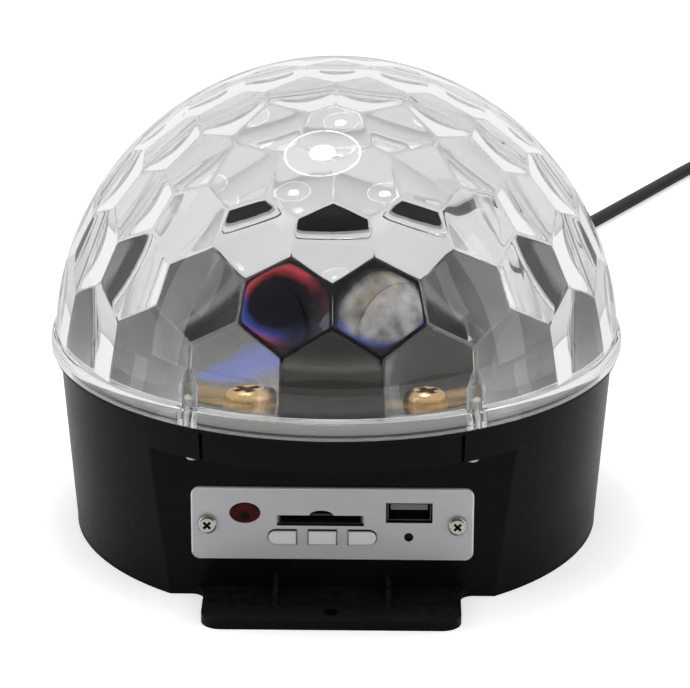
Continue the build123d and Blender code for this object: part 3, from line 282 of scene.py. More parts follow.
def add_node(tree, kind, values=None, result=0, **settings):
    """New node with these input values and settings; returns one of its outputs."""
    node = tree.nodes.new(kind)
    for label, setting in settings.items():
        setattr(node, label, setting)
    feed(node, values or {})
    return node.outputs[result]


def add_math(operation, first, second=0.0, clamp=False):
    """Math on two sockets or numbers."""
    values = {0: first, 1: second}
    return add_node(tree_of(first, second), "ShaderNodeMath", values, operation=operation, use_clamp=clamp)


def plus(first, second, clamp=False):
    """Sum of two values."""
    return add_math("ADD", first, second, clamp)


def minus(first, second):
    """First value less the second."""
    return add_math("SUBTRACT", first, second)


def times(first, second, clamp=False):
    """Product of two values."""
    return add_math("MULTIPLY", first, second, clamp)


def size_of(value):
    """Value without its sign."""
    return add_math("ABSOLUTE", value)


def diagonal(first, second):
    """Length of the diagonal of two sides."""
    return add_math("SQRT", plus(times(first, first), times(second, second)))


def vector_math(operation, first, second=(0, 0, 0), result=0):
    """Math on two vectors."""
    return add_node(first.id_data, "ShaderNodeVectorMath", {0: first, 1: second}, result, operation=operation)


def split(vector):
    """X, Y and Z of a vector."""
    node = vector.id_data.nodes.new("ShaderNodeSeparateXYZ")
    feed(node, {0: vector})
    return node.outputs


def join(x, y, z):
    """Vector of three values."""
    return add_node(tree_of(x, y, z), "ShaderNodeCombineXYZ", {0: x, 1: y, 2: z})


def map_range(value, start, end, low=0.0, high=1.0):
    """Maps a value from one range onto another and holds it there."""
    return add_node(value.id_data, "ShaderNodeMapRange", {
        "Value": value, "From Min": start, "From Max": end, "To Min": low, "To Max": high})


def spread(tone, low, high):
    """Maps the middle of a noise onto a range."""
    return map_range(tone, 0.3, 0.7, low, high)


def colour_mix(mask, first, second):
    """First colour, and the second where the mask is 1."""
    return add_node(mask.id_data, "ShaderNodeMix", {0: mask, 6: first, 7: second}, 2, data_type="RGBA")


def object_place(tree):
    """Place on the object, in metres."""
    return add_node(tree, "ShaderNodeTexCoord", result="Object")


def face_normal(tree):
    """Direction in which the surface looks."""
    return add_node(tree, "ShaderNodeNewGeometry", result="Normal")


def object_noise(tree, scale, detail, roughness=0.55, stretch=None):
    """Noise on object coordinates, stretched if a stretch is given."""
    place = object_place(tree)
    if stretch is not None:
        place = vector_math("MULTIPLY", place, stretch)
    return add_node(tree, "ShaderNodeTexNoise", {
        "Vector": place, "Scale": scale, "Detail": detail, "Roughness": roughness}, "Fac")


# Shader groups
FINE_SHARE = 0.35
LINE_SHARE = 0.7
CLOUD_SIZE = 24.0


def shader_group(name, inputs, outputs):
    """New shader node group with named sockets."""
    tree = bpy.data.node_groups.new(name, "ShaderNodeTree")
    for label, value in inputs.items():
        kind = "NodeSocketVector" if isinstance(value, tuple) else "NodeSocketFloat"
        tree.interface.new_socket(label, in_out="INPUT", socket_type=kind).default_value = value
    for label in outputs:
        tree.interface.new_socket(label, in_out="OUTPUT", socket_type="NodeSocketFloat")
    return tree, tree.nodes.new("NodeGroupInput").outputs, tree.nodes.new("NodeGroupOutput")


def two_noises(first, second, share):
    """Tone of two noises that are added by their shares."""
    return plus(times(first, share), times(second, 1 - share))


def grain_group(name):
    """Fine grain of a moulded or sprayed surface."""
    tree, given, end = shader_group(name, {"Size": 900.0, "Blotch size": 30.0}, ["Tone", "Height"])
    fine = object_noise(tree, given["Size"], 4.0)
    blotch = object_noise(tree, given["Blotch size"], 2.0)
    feed(end, {"Tone": two_noises(fine, blotch, FINE_SHARE), "Height": fine})
    return tree


def drawn_lines_group(name):
    """Fine lines that a brush or a die leaves along one direction."""
    tree, given, end = shader_group(name, {"Stretch": (40.0, 40.0, 2600.0), "Size": 1.0}, ["Tone", "Height"])
    lines = object_noise(tree, given["Size"], 2.0, 0.7, given["Stretch"])
    cloud = object_noise(tree, CLOUD_SIZE, 2.0)
    feed(end, {"Tone": two_noises(lines, cloud, LINE_SHARE), "Height": lines})
    return tree


def handling_group(name):
    """Mask of faint smears and rubbed places."""
    tree, given, end = shader_group(name, {"Size": 45.0, "Amount": 0.3}, ["Mask"])
    smear = map_range(object_noise(tree, given["Size"], 6.0, 0.65), 0.52, 0.72)
    feed(end, {"Mask": times(smear, given["Amount"], clamp=True)})
    return tree


def dust_group(name):
    """Mask of fine dust on faces that look upwards."""
    tree, given, end = shader_group(name, {"Size": 380.0, "Amount": 0.2}, ["Mask"])
    upward = add_math("MAXIMUM", split(face_normal(tree))["Z"])
    speck = minus(object_noise(tree, given["Size"], 5.0, 0.75), 0.42)
    mask = times(add_math("POWER", upward, 3.0), times(speck, 3.0, clamp=True))
    feed(end, {"Mask": times(mask, given["Amount"], clamp=True)})
    return tree


GROUP_MAKERS = {
    "Moulded grain": grain_group,
    "Drawn lines": drawn_lines_group,
    "Handling marks": handling_group,
    "Settled dust": dust_group,
}


def place_group(tree, name, **values):
    """Places a shared group with its own input values; returns its outputs."""
    node = tree.nodes.new("ShaderNodeGroup")
    node.node_tree = bpy.data.node_groups.get(name) or GROUP_MAKERS[name](name)
    feed(node, {label.replace("_", " ").capitalize(): value for label, value in values.items()})
    return node.outputs


# Materials
DUST_GREY = (0.42, 0.41, 0.39)
PAINTED_RECESS_SHADE = (0.01, 0.01, 0.01)
TRAPPED_BOUNCES = 2.5
WALL_TILT = 0.3
# Places of the painted golden sheen and of the painted blue reflection on the dish: distance from the axis in
# millimetres, azimuth in degrees, height in millimetres
GOLD_SHEEN_PLACES = [(distance, side * azimuth, 57.6)
               for distance, azimuth in ((50, 43), (51, 33), (58, 34), (59, 43)) for side in (-1, 1)]
GOLD_SHEEN_REACH = 6.5
BLUE_REFLECTION_PLACES = [(35.5, -55, 54.5), (38.5, -53, 55.0), (41.5, -51, 55.6)]
BLUE_REFLECTION_REACH = 3.4
TURRET_WINDOWS = 8
TURRET_FIRST_WINDOW = -3.0
WINDOW_MIDDLE_RADIUS = 22.7 * MM
WINDOW_MIDDLE_HEIGHT = FLANGE_LOW.z + 16.9 * MM
WINDOW_LEAN = 6.4
WINDOW_SQUEEZE = (1.0, 1.0, 1.45)


def new_material(name):
    """Empty node material with its output and one main shader."""
    material = bpy.data.materials.new(name)
    material.use_nodes = True
    tree = material.node_tree
    tree.nodes.clear()
    output = tree.nodes.new("ShaderNodeOutputMaterial")
    shader = tree.nodes.new("ShaderNodeBsdfPrincipled")
    feed(output, {"Surface": shader.outputs[0]})
    return material, tree, shader


def add_relief(shader, height, strength, depth):
    """Feeds a height into the shader's normal."""
    values = {"Height": height, "Strength": strength, "Distance": depth}
    bump = add_node(shader.id_data, "ShaderNodeBump", values)
    feed(shader, {"Normal": bump})


def patterned(name, rough, relief, group, **sizes):
    """Material whose roughness and relief follow one shared group; also returns the group's tone."""
    material, tree, shader = new_material(name)
    pattern = place_group(tree, group, **sizes)
    feed(shader, {"Roughness": spread(pattern["Tone"], *rough)})
    add_relief(shader, pattern["Height"], *relief)
    return material, tree, shader, pattern["Tone"]


def lighter(colour, share):
    """Colour moved a share of the way to white."""
    return tuple(c + (1 - c) * share for c in colour)


def darker(colour, share):
    """Colour moved a share of the way to black."""
    return tuple(c * (1 - share) for c in colour)


def plastic(name, colour, rough, grain=900.0, depth=0.02 * MM, marks=0.3, dust=0.15, coat=0.0, gloss=0.5):
    """Moulded plastic with grain, faint smears and dust."""
    material, tree, shader = new_material(name)
    pattern = place_group(tree, "Moulded grain", size=grain)
    smears = place_group(tree, "Handling marks", amount=marks)["Mask"]
    dusty = place_group(tree, "Settled dust", amount=dust)["Mask"]
    base = colour_mix(pattern["Tone"], darker(colour, 0.25), lighter(colour, 0.005))
    roughness = spread(pattern["Tone"], rough * 0.88, rough * 1.12)
    roughness = plus(roughness, times(smears, 0.22))
    feed(shader, {
        "Base Color": colour_mix(dusty, base, DUST_GREY),
        "Roughness": plus(roughness, times(dusty, 0.4), clamp=True),
        "Specular IOR Level": gloss,
        "Coat Weight": coat,
        "Coat Roughness": 0.08,
    })
    add_relief(shader, pattern["Height"], 0.35, depth)
    return material


def metal(name, colour, rough, stretch=(60.0, 60.0, 60.0)):
    """Metal with drawn lines and a little tarnish."""
    material, tree, shader = new_material(name)
    lines = place_group(tree, "Drawn lines", stretch=stretch)
    tarnish = place_group(tree, "Handling marks", size=120.0, amount=0.25)["Mask"]
    base = colour_mix(lines["Tone"], darker(colour, 0.14), lighter(colour, 0.1))
    roughness = spread(lines["Tone"], rough * 0.8, rough * 1.2)
    feed(shader, {
        "Base Color": colour_mix(tarnish, base, darker(colour, 0.45)),
        "Roughness": plus(roughness, times(tarnish, 0.25), clamp=True),
        "Metallic": 1.0,
    })
    add_relief(shader, lines["Height"], 0.4, 0.008 * MM)
    return material


def clear_material(name, colour, haze, satin=0.0):
    """Clear moulded plastic: light passes, and its shadow stays pale."""
    material, tree, shader = new_material(name)
    grain = place_group(tree, "Moulded grain", size=260.0, blotch_size=14.0)["Tone"]
    smears = place_group(tree, "Handling marks", size=30.0, amount=haze)["Mask"]
    roughness = spread(grain, satin, satin + haze * 0.12)
    feed(shader, {
        "Base Color": colour,
        "IOR": 1.5,
        "Transmission Weight": 1.0,
        "Roughness": plus(roughness, times(smears, 0.25), clamp=True),
    })
    add_relief(shader, grain, 0.05, 0.05 * MM)
    see_through = add_node(tree, "ShaderNodeBsdfTransparent", {"Color": (0.93, 0.94, 0.95)})
    light = tree.nodes.new("ShaderNodeLightPath").outputs
    trapped = add_math("GREATER_THAN", light["Glossy Depth"], TRAPPED_BOUNCES)
    passing = add_math("MAXIMUM", light["Is Shadow Ray"], trapped)
    mix = add_node(tree, "ShaderNodeMixShader", {"Fac": passing, 1: shader.outputs[0], 2: see_through})
    output = next(n for n in tree.nodes if n.type == "OUTPUT_MATERIAL")
    feed(output, {"Surface": mix})
    return material


def board_material(name, colour, trace):
    """Circuit board: solder mask over tracks, with tinned pads."""
    material, tree, shader = new_material(name)
    place = object_place(tree)
    tracks = add_node(tree, "ShaderNodeTexBrick", {
        "Vector": place,
        "Scale": 1.0,
        "Mortar Size": 0.4 * MM,
        "Brick Width": 8.5 * MM,
        "Row Height": 2.3 * MM,
    }, "Fac", offset=0.5)
    cells = add_node(tree, "ShaderNodeTexVoronoi", {"Vector": place, "Scale": 260.0}, "Distance")
    pads = add_math("LESS_THAN", cells, 0.16)
    grain = place_group(tree, "Moulded grain", size=700.0)["Tone"]
    base = colour_mix(tracks, colour, trace)
    base = colour_mix(times(grain, 0.25), base, darker(colour, 0.5))
    feed(shader, {
        "Base Color": colour_mix(pads, base, (0.62, 0.61, 0.58)),
        "Roughness": spread(grain, 0.22, 0.38),
        "Metallic": pads,
    })
    add_relief(shader, plus(times(tracks, 0.5), pads), 0.5, 0.04 * MM)
    return material


def painted_wall_shade_mask(tree):
    """Mask of the walls that stand square to the front panel, where shade is painted."""
    return add_math("LESS_THAN", size_of(split(face_normal(tree))["Y"]), WALL_TILT)


def button_material():
    """Silver paint on a moulded cap, with painted shade on its side walls."""
    colour = tuple(bpy.context.scene.disco_finishes.buttons)
    material, tree, shader, tone = patterned(
        "silver_paint_button", (0.3, 0.42), (0.25, 0.01 * MM), "Moulded grain", size=1800.0, blotch_size=90.0)
    base = colour_mix(tone, darker(colour, 0.08), lighter(colour, 0.1))
    # painted shade: the side walls of the button are coloured near black
    base = colour_mix(painted_wall_shade_mask(tree), base, (0.03, 0.03, 0.032))
    feed(shader, {"Base Color": base, "Metallic": 0.3})
    return material


def gasket_material(foot, top):
    """Pale seal with painted shade that makes it grey towards its foot."""
    material, tree, shader = new_material("pale_gasket")
    pattern = place_group(tree, "Moulded grain", size=1500.0)
    # painted shade: the colour darkens towards the foot, below the flange
    height = map_range(split(object_place(tree))["Z"], foot, top)
    base = colour_mix(height, (0.26, 0.255, 0.24), (0.93, 0.92, 0.88))
    base = colour_mix(spread(pattern["Tone"], 0.0, 0.08), base, (0.5, 0.49, 0.46))
    feed(shader, {"Base Color": base, "Roughness": 0.6})
    add_relief(shader, pattern["Height"], 0.35, 0.03 * MM)
    return material


def panel_screw_material():
    """Nickel heads with painted shade in their cross recess."""
    material, tree, shader, tone = patterned(
        "nickel_panel_screws", (0.2, 0.32), (0.3, 0.01 * MM), "Drawn lines", stretch=(500.0, 500.0, 500.0))
    low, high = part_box("panel_screws")
    head_radius = (high.z - low.z) / 2
    x, y, z = split(object_place(tree))
    side = minus(size_of(x), high.x - head_radius)
    tall = minus(z, (low.z + high.z) / 2)
    near = add_math("LESS_THAN", diagonal(side, tall), head_radius * 0.56)
    recess_shade_depth = map_range(y, low.y + 0.02 * MM, low.y + 0.3 * MM)
    base = colour_mix(tone, (0.52, 0.50, 0.45), (0.70, 0.68, 0.62))
    # painted shade: the cross recess is coloured near black
    base = colour_mix(times(near, recess_shade_depth), base, PAINTED_RECESS_SHADE)
    feed(shader, {"Base Color": base, "Metallic": 1.0})
    return material


def card_socket_material():
    """Black card guide with bare metal at both ends."""
    material, tree, shader, tone = patterned(
        "card_guide", (0.3, 0.42), (0.3, 0.01 * MM), "Drawn lines", stretch=(40.0, 700.0, 40.0))
    low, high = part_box("card_socket")
    away = size_of(minus(split(object_place(tree))["X"], (low.x + high.x) / 2))
    bare = add_math("GREATER_THAN", away, (high.x - low.x) / 2 - 1.6 * MM)
    base = colour_mix(tone, (0.010, 0.010, 0.011), (0.022, 0.022, 0.024))
    feed(shader, {"Base Color": colour_mix(bare, base, (0.30, 0.30, 0.29)), "Metallic": bare})
    return material


def panel_material():
    """Silver panel with fine brushing, a painted highlight on its rim and painted shade on the walls in its
    openings.
    """
    colour = tuple(bpy.context.scene.disco_finishes.panel)
    material, tree, shader = new_material("brushed_silver_panel")
    lines = place_group(tree, "Drawn lines", stretch=(34.0, 300.0, 3600.0))
    grain = place_group(tree, "Moulded grain", size=2400.0, blotch_size=55.0)["Height"]
    place = split(object_place(tree))
    half = (PANEL_HIGH - PANEL_LOW) / 2
    middle = (PANEL_HIGH + PANEL_LOW) / 2
    side = minus(size_of(minus(place["X"], middle.x)), half.x)
    tall = minus(size_of(minus(place["Z"], middle.z)), half.z)
    edge = add_math("MAXIMUM", side, tall)
    # painted highlight: the rim is coloured near white, and it is also a little smoother
    rim = map_range(edge, -0.5 * MM, -0.3 * MM)
    # painted shade: the walls inside the openings are coloured near black
    inside = times(painted_wall_shade_mask(tree), add_math("LESS_THAN", edge, -1.2 * MM))
    base = colour_mix(lines["Tone"], darker(colour, 0.1), lighter(colour, 0.12))
    base = colour_mix(rim, base, lighter(colour, 0.8))
    feed(shader, {
        "Base Color": colour_mix(inside, base, (0.012, 0.012, 0.013)),
        "Roughness": minus(spread(lines["Tone"], 0.36, 0.5), times(rim, 0.2)),
        "Metallic": 0.4,
    })
    add_relief(shader, plus(lines["Height"], times(grain, 0.6)), 0.35, 0.02 * MM)
    return material


def window_material():
    """Dark red clear window, darker where the receiver stands behind it."""
    material, tree, shader, tone = patterned(
        "dark_red_window", (0.08, 0.16), (0.2, 0.01 * MM), "Moulded grain", size=900.0, blotch_size=260.0)
    low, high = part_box("ir_window")
    middle = (low + high) / 2
    spot = (middle.x, low.y, middle.z - 0.9 * MM)
    away = vector_math("DISTANCE", object_place(tree), spot, "Value")
    red = colour_mix(spread(tone, 0.0, 1.0), (0.010, 0.001, 0.001), (0.095, 0.005, 0.006))
    base = colour_mix(map_range(away, 1.1 * MM, 2.0 * MM), (0.002, 0.001, 0.001), red)
    feed(shader, {"Base Color": base, "Specular IOR Level": 0.12})
    return material


def emitter_material(name, colour):
    """Unlit coloured lamp: phosphor under a clear cap."""
    material, _, shader, tone = patterned(
        name, (0.05, 0.14), (0.2, 0.02 * MM), "Moulded grain", size=1500.0, blotch_size=320.0)
    base = colour_mix(tone, darker(colour, 0.35), lighter(colour, 0.12))
    feed(shader, {"Base Color": base, "Coat Weight": 0.6, "Coat Roughness": 0.03})
    return material


def nearest_of(distances):
    """Least of several distances."""
    nearest = distances[0]
    for distance in distances[1:]:
        nearest = add_math("MINIMUM", nearest, distance)
    return nearest


def near_points(tree, places, reach):
    """Mask round points that are given by distance and height in millimetres and by azimuth."""
    place = object_place(tree)
    spots = [front_point(distance * MM, azimuth, height * MM) for distance, azimuth, height in places]
    nearest = nearest_of([vector_math("DISTANCE", place, spot, "Value") for spot in spots])
    return map_range(nearest, reach * MM, reach * 0.55 * MM)


def dish_material():
    """Smoked mirror finish with a painted golden sheen by the screws, a painted blue reflection and a black
    painted outer band.
    """
    material, tree, shader, tone = patterned(
        "smoked_mirror_dish", (0.10, 0.2), (0.3, 0.01 * MM), "Drawn lines", stretch=(120.0, 120.0, 120.0))
    place = split(object_place(tree))
    reach = diagonal(place["X"], place["Y"])
    inner = map_range(reach, 46.0 * MM, 56.0 * MM)
    cloud = place_group(tree, "Handling marks", size=150.0, amount=1.0)["Mask"]
    # painted golden sheen by the brass screws
    golden_sheen = near_points(tree, GOLD_SHEEN_PLACES, GOLD_SHEEN_REACH)
    # painted blue reflection of a blue lens
    blue = near_points(tree, BLUE_REFLECTION_PLACES, BLUE_REFLECTION_REACH)
    band = times(map_range(reach, 61.0 * MM, 63.0 * MM), minus(1.0, times(golden_sheen, 0.8)))
    base = colour_mix(inner, (0.105, 0.097, 0.082), (0.075, 0.072, 0.068))
    base = colour_mix(spread(tone, 0.0, 0.35), base, (0.28, 0.27, 0.26))
    base = colour_mix(golden_sheen, base, colour_mix(cloud, (0.40, 0.27, 0.08), (0.74, 0.50, 0.24)))
    base = colour_mix(blue, base, (0.10, 0.15, 0.52))
    # the painted sheen and reflection also take away the bare metal there
    painted_glints = times(add_math("MAXIMUM", golden_sheen, blue), 0.85)
    bare = minus(1.0, add_math("MAXIMUM", painted_glints, band))
    feed(shader, {
        "Base Color": colour_mix(band, base, (0.006, 0.006, 0.007)),
        "Metallic": times(bare, map_range(reach, 50.0 * MM, 58.0 * MM, 0.5, 0.9)),
    })
    return material


def window_distance(place):
    """Distance to the middle of the nearest window of the turret, which is less tall than wide."""
    distances = []
    for step in range(TURRET_WINDOWS):
        azimuth = TURRET_FIRST_WINDOW + 360 / TURRET_WINDOWS * step
        lean = -WINDOW_LEAN * math.sin(math.radians(azimuth))
        middle = front_point(WINDOW_MIDDLE_RADIUS, azimuth + lean, WINDOW_MIDDLE_HEIGHT)
        offset = vector_math("MULTIPLY", vector_math("SUBTRACT", place, middle), WINDOW_SQUEEZE)
        distances.append(vector_math("LENGTH", offset, result="Value"))
    return nearest_of(distances)


def turret_material(name, rough):
    """Near black with painted coloured glints round each lens: blue and red on one half, painted hazy white
    light on the other.
    """
    material, tree, shader, tone = patterned(
        name, rough, (0.1, 0.01 * MM), "Moulded grain", size=700.0, blotch_size=260.0)
    smear = place_group(tree, "Handling marks", size=210.0, amount=1.0)["Mask"]
    place = object_place(tree)
    x, y, z = split(place)
    # painted glints round the windows, mostly on one side of the turret
    wavy = plus(window_distance(place), times(smear, -0.5 * MM))
    across = minus(times(x, 0.67), times(y, 0.74))
    lit_side = map_range(across, 2.6 * MM, 5.0 * MM, 1.0, 0.08)
    rim = times(map_range(wavy, 3.4 * MM, 4.7 * MM), lit_side)
    below = size_of(minus(z, WINDOW_MIDDLE_HEIGHT - 1.3 * MM))
    redness = map_range(below, 0.8 * MM, 1.7 * MM)
    # painted glints in blue and red
    ring = colour_mix(redness, (0.05, 0.09, 0.42), (0.46, 0.05, 0.065))
    dark = colour_mix(rim, (0.003, 0.003, 0.006), ring)
    # painted hazy white light round the windows on the +X half
    haze = colour_mix(spread(tone, 0.0, 1.0), (0.07, 0.06, 0.035), (0.64, 0.63, 0.63))
    haze = colour_mix(times(smear, 0.7), haze, (0.42, 0.30, 0.11))
    edge = colour_mix(redness, (0.05, 0.08, 0.34), (0.03, 0.03, 0.035))
    haze = colour_mix(map_range(wavy, 4.3 * MM, 5.2 * MM), haze, edge)
    base = colour_mix(map_range(x, -2.0 * MM, 2.0 * MM), dark, haze)
    base = colour_mix(map_range(wavy, 5.2 * MM, 6.0 * MM), base, (0.003, 0.003, 0.004))
    feed(shader, {"Base Color": base, "Specular IOR Level": 0.12})
    return material


def winding_material():
    """Lacquered copper under bands of yellow tape."""
    material, tree, shader = new_material("copper_and_tape")
    wave = add_node(tree, "ShaderNodeTexWave", {
        "Vector": object_place(tree), "Scale": 420.0, "Distortion": 0.6}, "Fac", bands_direction="Z")
    grain = place_group(tree, "Moulded grain", size=900.0)["Tone"]
    base = colour_mix(wave, (0.16, 0.05, 0.015), (0.52, 0.22, 0.07))
    base = colour_mix(add_math("GREATER_THAN", grain, 0.56), base, (0.62, 0.42, 0.08))
    feed(shader, {"Base Color": base, "Roughness": spread(grain, 0.22, 0.4)})
    add_relief(shader, wave, 0.6, 0.1 * MM)
    return material


# Dome
# Rows of lenses: latitude in degrees, count, azimuth of the first in degrees
LENS_ROWS = [
    (11.0, 18, 0.0),
    (26.3, 18, 10.0),
    (39.5, 18, 0.0),
    (52.0, 18, 10.0),
    (64.8, 12, 0.0),
    (77.3, 6, 30.0),
    (90.0, 1, 0.0),
]
BORDER_SHARES = [0.93, 0.965, 1.0]
SAME_CORNER = 1e-4
MERGE_DISTANCE = 0.004 * MM
CUT_DISTANCE = 0.01 * MM
NEAR_LENSES = math.radians(30)
RING_STEPS = 240
BALL_LEVELS = 72
FLANGE_SHARES = (0.0, 0.2, 0.4, 0.6, 0.8, 0.94)
RIB_STEPS = 12
RIB_FOOT = 2.0 * MM
RIB_SINK = 1.3 * MM
RIB_TAPER = 0.9


def circle(radius, height, steps):
    """Points of an even circle about the Z axis."""
    turns = [FULL_TURN * i / steps for i in range(steps)]
    return [(radius * math.cos(turn), radius * math.sin(turn), height) for turn in turns]


def lens_directions():
    """Unit directions of all lenses, with the lowest row mirrored downwards."""
    lowest, *others = LENS_ROWS[0]
    ways = []
    for latitude, count, first in [(-lowest, *others)] + LENS_ROWS:
        tilt = math.radians(latitude)
        for step in range(count):
            ways.append(front_point(math.cos(tilt), first + 360 * step / count, math.sin(tilt)))
    return ways


def lens_corners(ways):
    """For each lens, the directions of its corners in order round it."""
    hull = bmesh.new()
    points = [hull.verts.new(way) for way in ways]
    hull.verts.index_update()
    bmesh.ops.convex_hull(hull, input=points)
    around_lens = [[] for _ in ways]
    for face in hull.faces:
        normal = face.normal.copy()
        if normal.dot(face.calc_center_median()) < 0:
            normal.negate()
        for vertex in face.verts:
            around_lens[vertex.index].append(normal)
    hull.free()
    ordered = []
    for way, corners in zip(ways, around_lens):
        side = way.orthogonal().normalized()
        other = way.cross(side)
        corners.sort(key=lambda c: math.atan2(c.dot(other), c.dot(side)))
        kept = []
        for corner in corners:
            if not kept or (corner - kept[-1]).length > SAME_CORNER:
                kept.append(corner)
        if len(kept) > 1 and (kept[0] - kept[-1]).length < SAME_CORNER:
            kept.pop()
        ordered.append(kept)
    return ordered


def border_points(start, end, step):
    """Directions along a lens border, the first corner included."""
    count = max(2, math.ceil(start.angle(end) / step))
    return [start.slerp(end, i / count).normalized() for i in range(count)]


def lens_reach(dome, way, toward):
    """How far one lens lies from the ball's middle, seen in a direction."""
    ball_distance = dome.outer_radius - dome.lens_wall + dome.lens_radius
    cosine = way.dot(toward)
    under_root = dome.lens_radius**2 - ball_distance**2 * (1 - cosine * cosine)
    return ball_distance * cosine - math.sqrt(under_root) if under_root > 0 else dome.outer_radius


def inner_point(dome, near, toward):
    """Point of the inner face in a direction, with soft borders between the lenses."""
    reaches = [lens_reach(dome, way, toward) for way in near]
    least = min(reaches)
    together = sum(math.exp((least - reach) / dome.border_softness) for reach in reaches)
    reach = least - dome.border_softness * math.log(together)
    return toward * min(reach, dome.outer_radius - dome.thinnest)


def cavity_mesh(dome):
    """Inner face of the dome: every lens as rings of faces round its middle."""
    mesh = bmesh.new()
    ways = lens_directions()
    shares = [ring / dome.lens_rings for ring in range(1, dome.lens_rings)] + BORDER_SHARES
    for way, corners in zip(ways, lens_corners(ways)):
        near = [other for other in ways if other.dot(way) > math.cos(NEAR_LENSES)]
        border = []
        for corner, after in zip(corners, corners[1:] + corners[:1]):
            border += border_points(corner, after, dome.border_step)
        middle = mesh.verts.new(inner_point(dome, near, way))
        rings = []
        for share in shares:
            line = [way.slerp(edge, share).normalized() for edge in border]
            rings.append([mesh.verts.new(inner_point(dome, near, toward)) for toward in line])
        for i in range(len(border)):
            after = (i + 1) % len(border)
            mesh.faces.new((middle, rings[0][after], rings[0][i]))
            for low, high in zip(rings, rings[1:]):
                mesh.faces.new((low[i], low[after], high[after], high[i]))
    bmesh.ops.remove_doubles(mesh, verts=mesh.verts[:], dist=MERGE_DISTANCE)
    cut = bmesh.ops.bisect_plane(
        mesh,
        geom=mesh.verts[:] + mesh.edges[:] + mesh.faces[:],
        plane_co=(0, 0, dome.flange_height),
        plane_no=(0, 0, 1),
        clear_inner=True,
        dist=CUT_DISTANCE,
    )
    for item in cut["geom_cut"]:
        if isinstance(item, bmesh.types.BMVert):
            item.co.z = dome.flange_height
    return mesh


def join_rings(mesh, low, high, sharp=False):
    """Faces between two rings with the same count."""
    for i in range(len(low)):
        after = (i + 1) % len(low)
        mesh.faces.new((low[i], low[after], high[after], high[i]))
        if sharp:
            for ring in (low, high):
                mesh.edges.get((ring[i], ring[after])).smooth = False


def stitch_to_ring(mesh, border, ring):
    """Triangles between the uneven lower border of the lenses and an even ring."""
    def turn(vertex):
        return math.atan2(vertex.co.y, vertex.co.x) % FULL_TURN

    inner = sorted(border, key=turn)
    outer = sorted(ring, key=turn)
    i = j = 0
    while i < len(inner) or j < len(outer):
        a, next_a = inner[i % len(inner)], inner[(i + 1) % len(inner)]
        b, next_b = outer[j % len(outer)], outer[(j + 1) % len(outer)]
        far_a = turn(next_a) + (FULL_TURN if i + 1 >= len(inner) else 0)
        far_b = turn(next_b) + (FULL_TURN if j + 1 >= len(outer) else 0)
        if j >= len(outer) or (i < len(inner) and far_a < far_b):
            mesh.faces.new((a, b, next_a))
            i += 1
        else:
            mesh.faces.new((a, b, next_b))
            j += 1
    for vertex, after in zip(outer, outer[1:] + outer[:1]):
        mesh.edges.get((vertex, after)).smooth = False


def dome_outline(dome):
    """Outside of the dome, up from its bore: radius, height and whether the edge there is sharp."""
    rim, bevel = dome.flange_radius, dome.edge_bevel
    outline = [(rim - dome.flange_wall, 0.0, True), (rim - bevel, 0.0, True), (rim, bevel, True)]
    first = math.asin(dome.flange_height / dome.outer_radius)
    ball_edge = dome.outer_radius * math.cos(first)
    for share in FLANGE_SHARES:
        radius = ball_edge + (rim - ball_edge) * math.cos(QUARTER_TURN * share)
        height = dome.flange_height - dome.flange_round * (1 - math.sin(QUARTER_TURN * share))
        outline.append((radius, height, share == 0.0))
    for level in range(BALL_LEVELS):
        angle = first + (QUARTER_TURN - first) * level / BALL_LEVELS
        outline.append((dome.outer_radius * math.cos(angle), dome.outer_radius * math.sin(angle), level == 0))
    return outline


def dome_mesh(dome, base):
    """Closed body of the dome: lenses inside, smooth ball outside, flange below."""
    mesh = cavity_mesh(dome)
    border = [edge for edge in mesh.edges if edge.is_boundary]
    for edge in border:
        edge.smooth = False
    bore = circle(dome.flange_radius - dome.flange_wall, dome.flange_height, RING_STEPS)
    last = [mesh.verts.new(spot) for spot in bore]
    stitch_to_ring(mesh, {vertex for edge in border for vertex in edge.verts}, last)
    for radius, height, sharp in dome_outline(dome):
        ring = [mesh.verts.new(spot) for spot in circle(radius, height, RING_STEPS)]
        join_rings(mesh, last, ring, sharp)
        last = ring
    top = mesh.verts.new((0, 0, dome.outer_radius))
    for vertex, after in zip(last, last[1:] + last[:1]):
        mesh.faces.new((vertex, after, top))
    for face in mesh.faces:
        face.smooth = True
    bmesh.ops.translate(mesh, verts=mesh.verts[:], vec=(0, 0, base))
    bmesh.ops.recalc_face_normals(mesh, faces=mesh.faces[:])
    open_edges = [edge for edge in mesh.edges if not edge.is_manifold]
    if open_edges:
        raise RuntimeError(f"the dome isn't closed: {len(open_edges)} open edges")
    return mesh


def arc_piece(name, section, posts, half_gap):
    """Arcs of one section with closed ends, which leave room for the screw posts."""
    mesh = bmesh.new()
    pitch = 360 / posts.count
    steps = RING_STEPS // posts.count
    for arc in range(posts.count):
        start = math.degrees(posts.first_azimuth) + pitch * arc + half_gap
        rings = []
        for step in range(steps + 1):
            azimuth = start + (pitch - 2 * half_gap) * step / steps
            rings.append([mesh.verts.new(front_point(radius, azimuth, height)) for radius, height in section])
        for ring, after in zip(rings, rings[1:]):
            join_rings(mesh, ring, after)
        mesh.faces.new(rings[0])
        mesh.faces.new(rings[-1])
    bmesh.ops.recalc_face_normals(mesh, faces=mesh.faces[:])
    return piece_from(mesh, name)


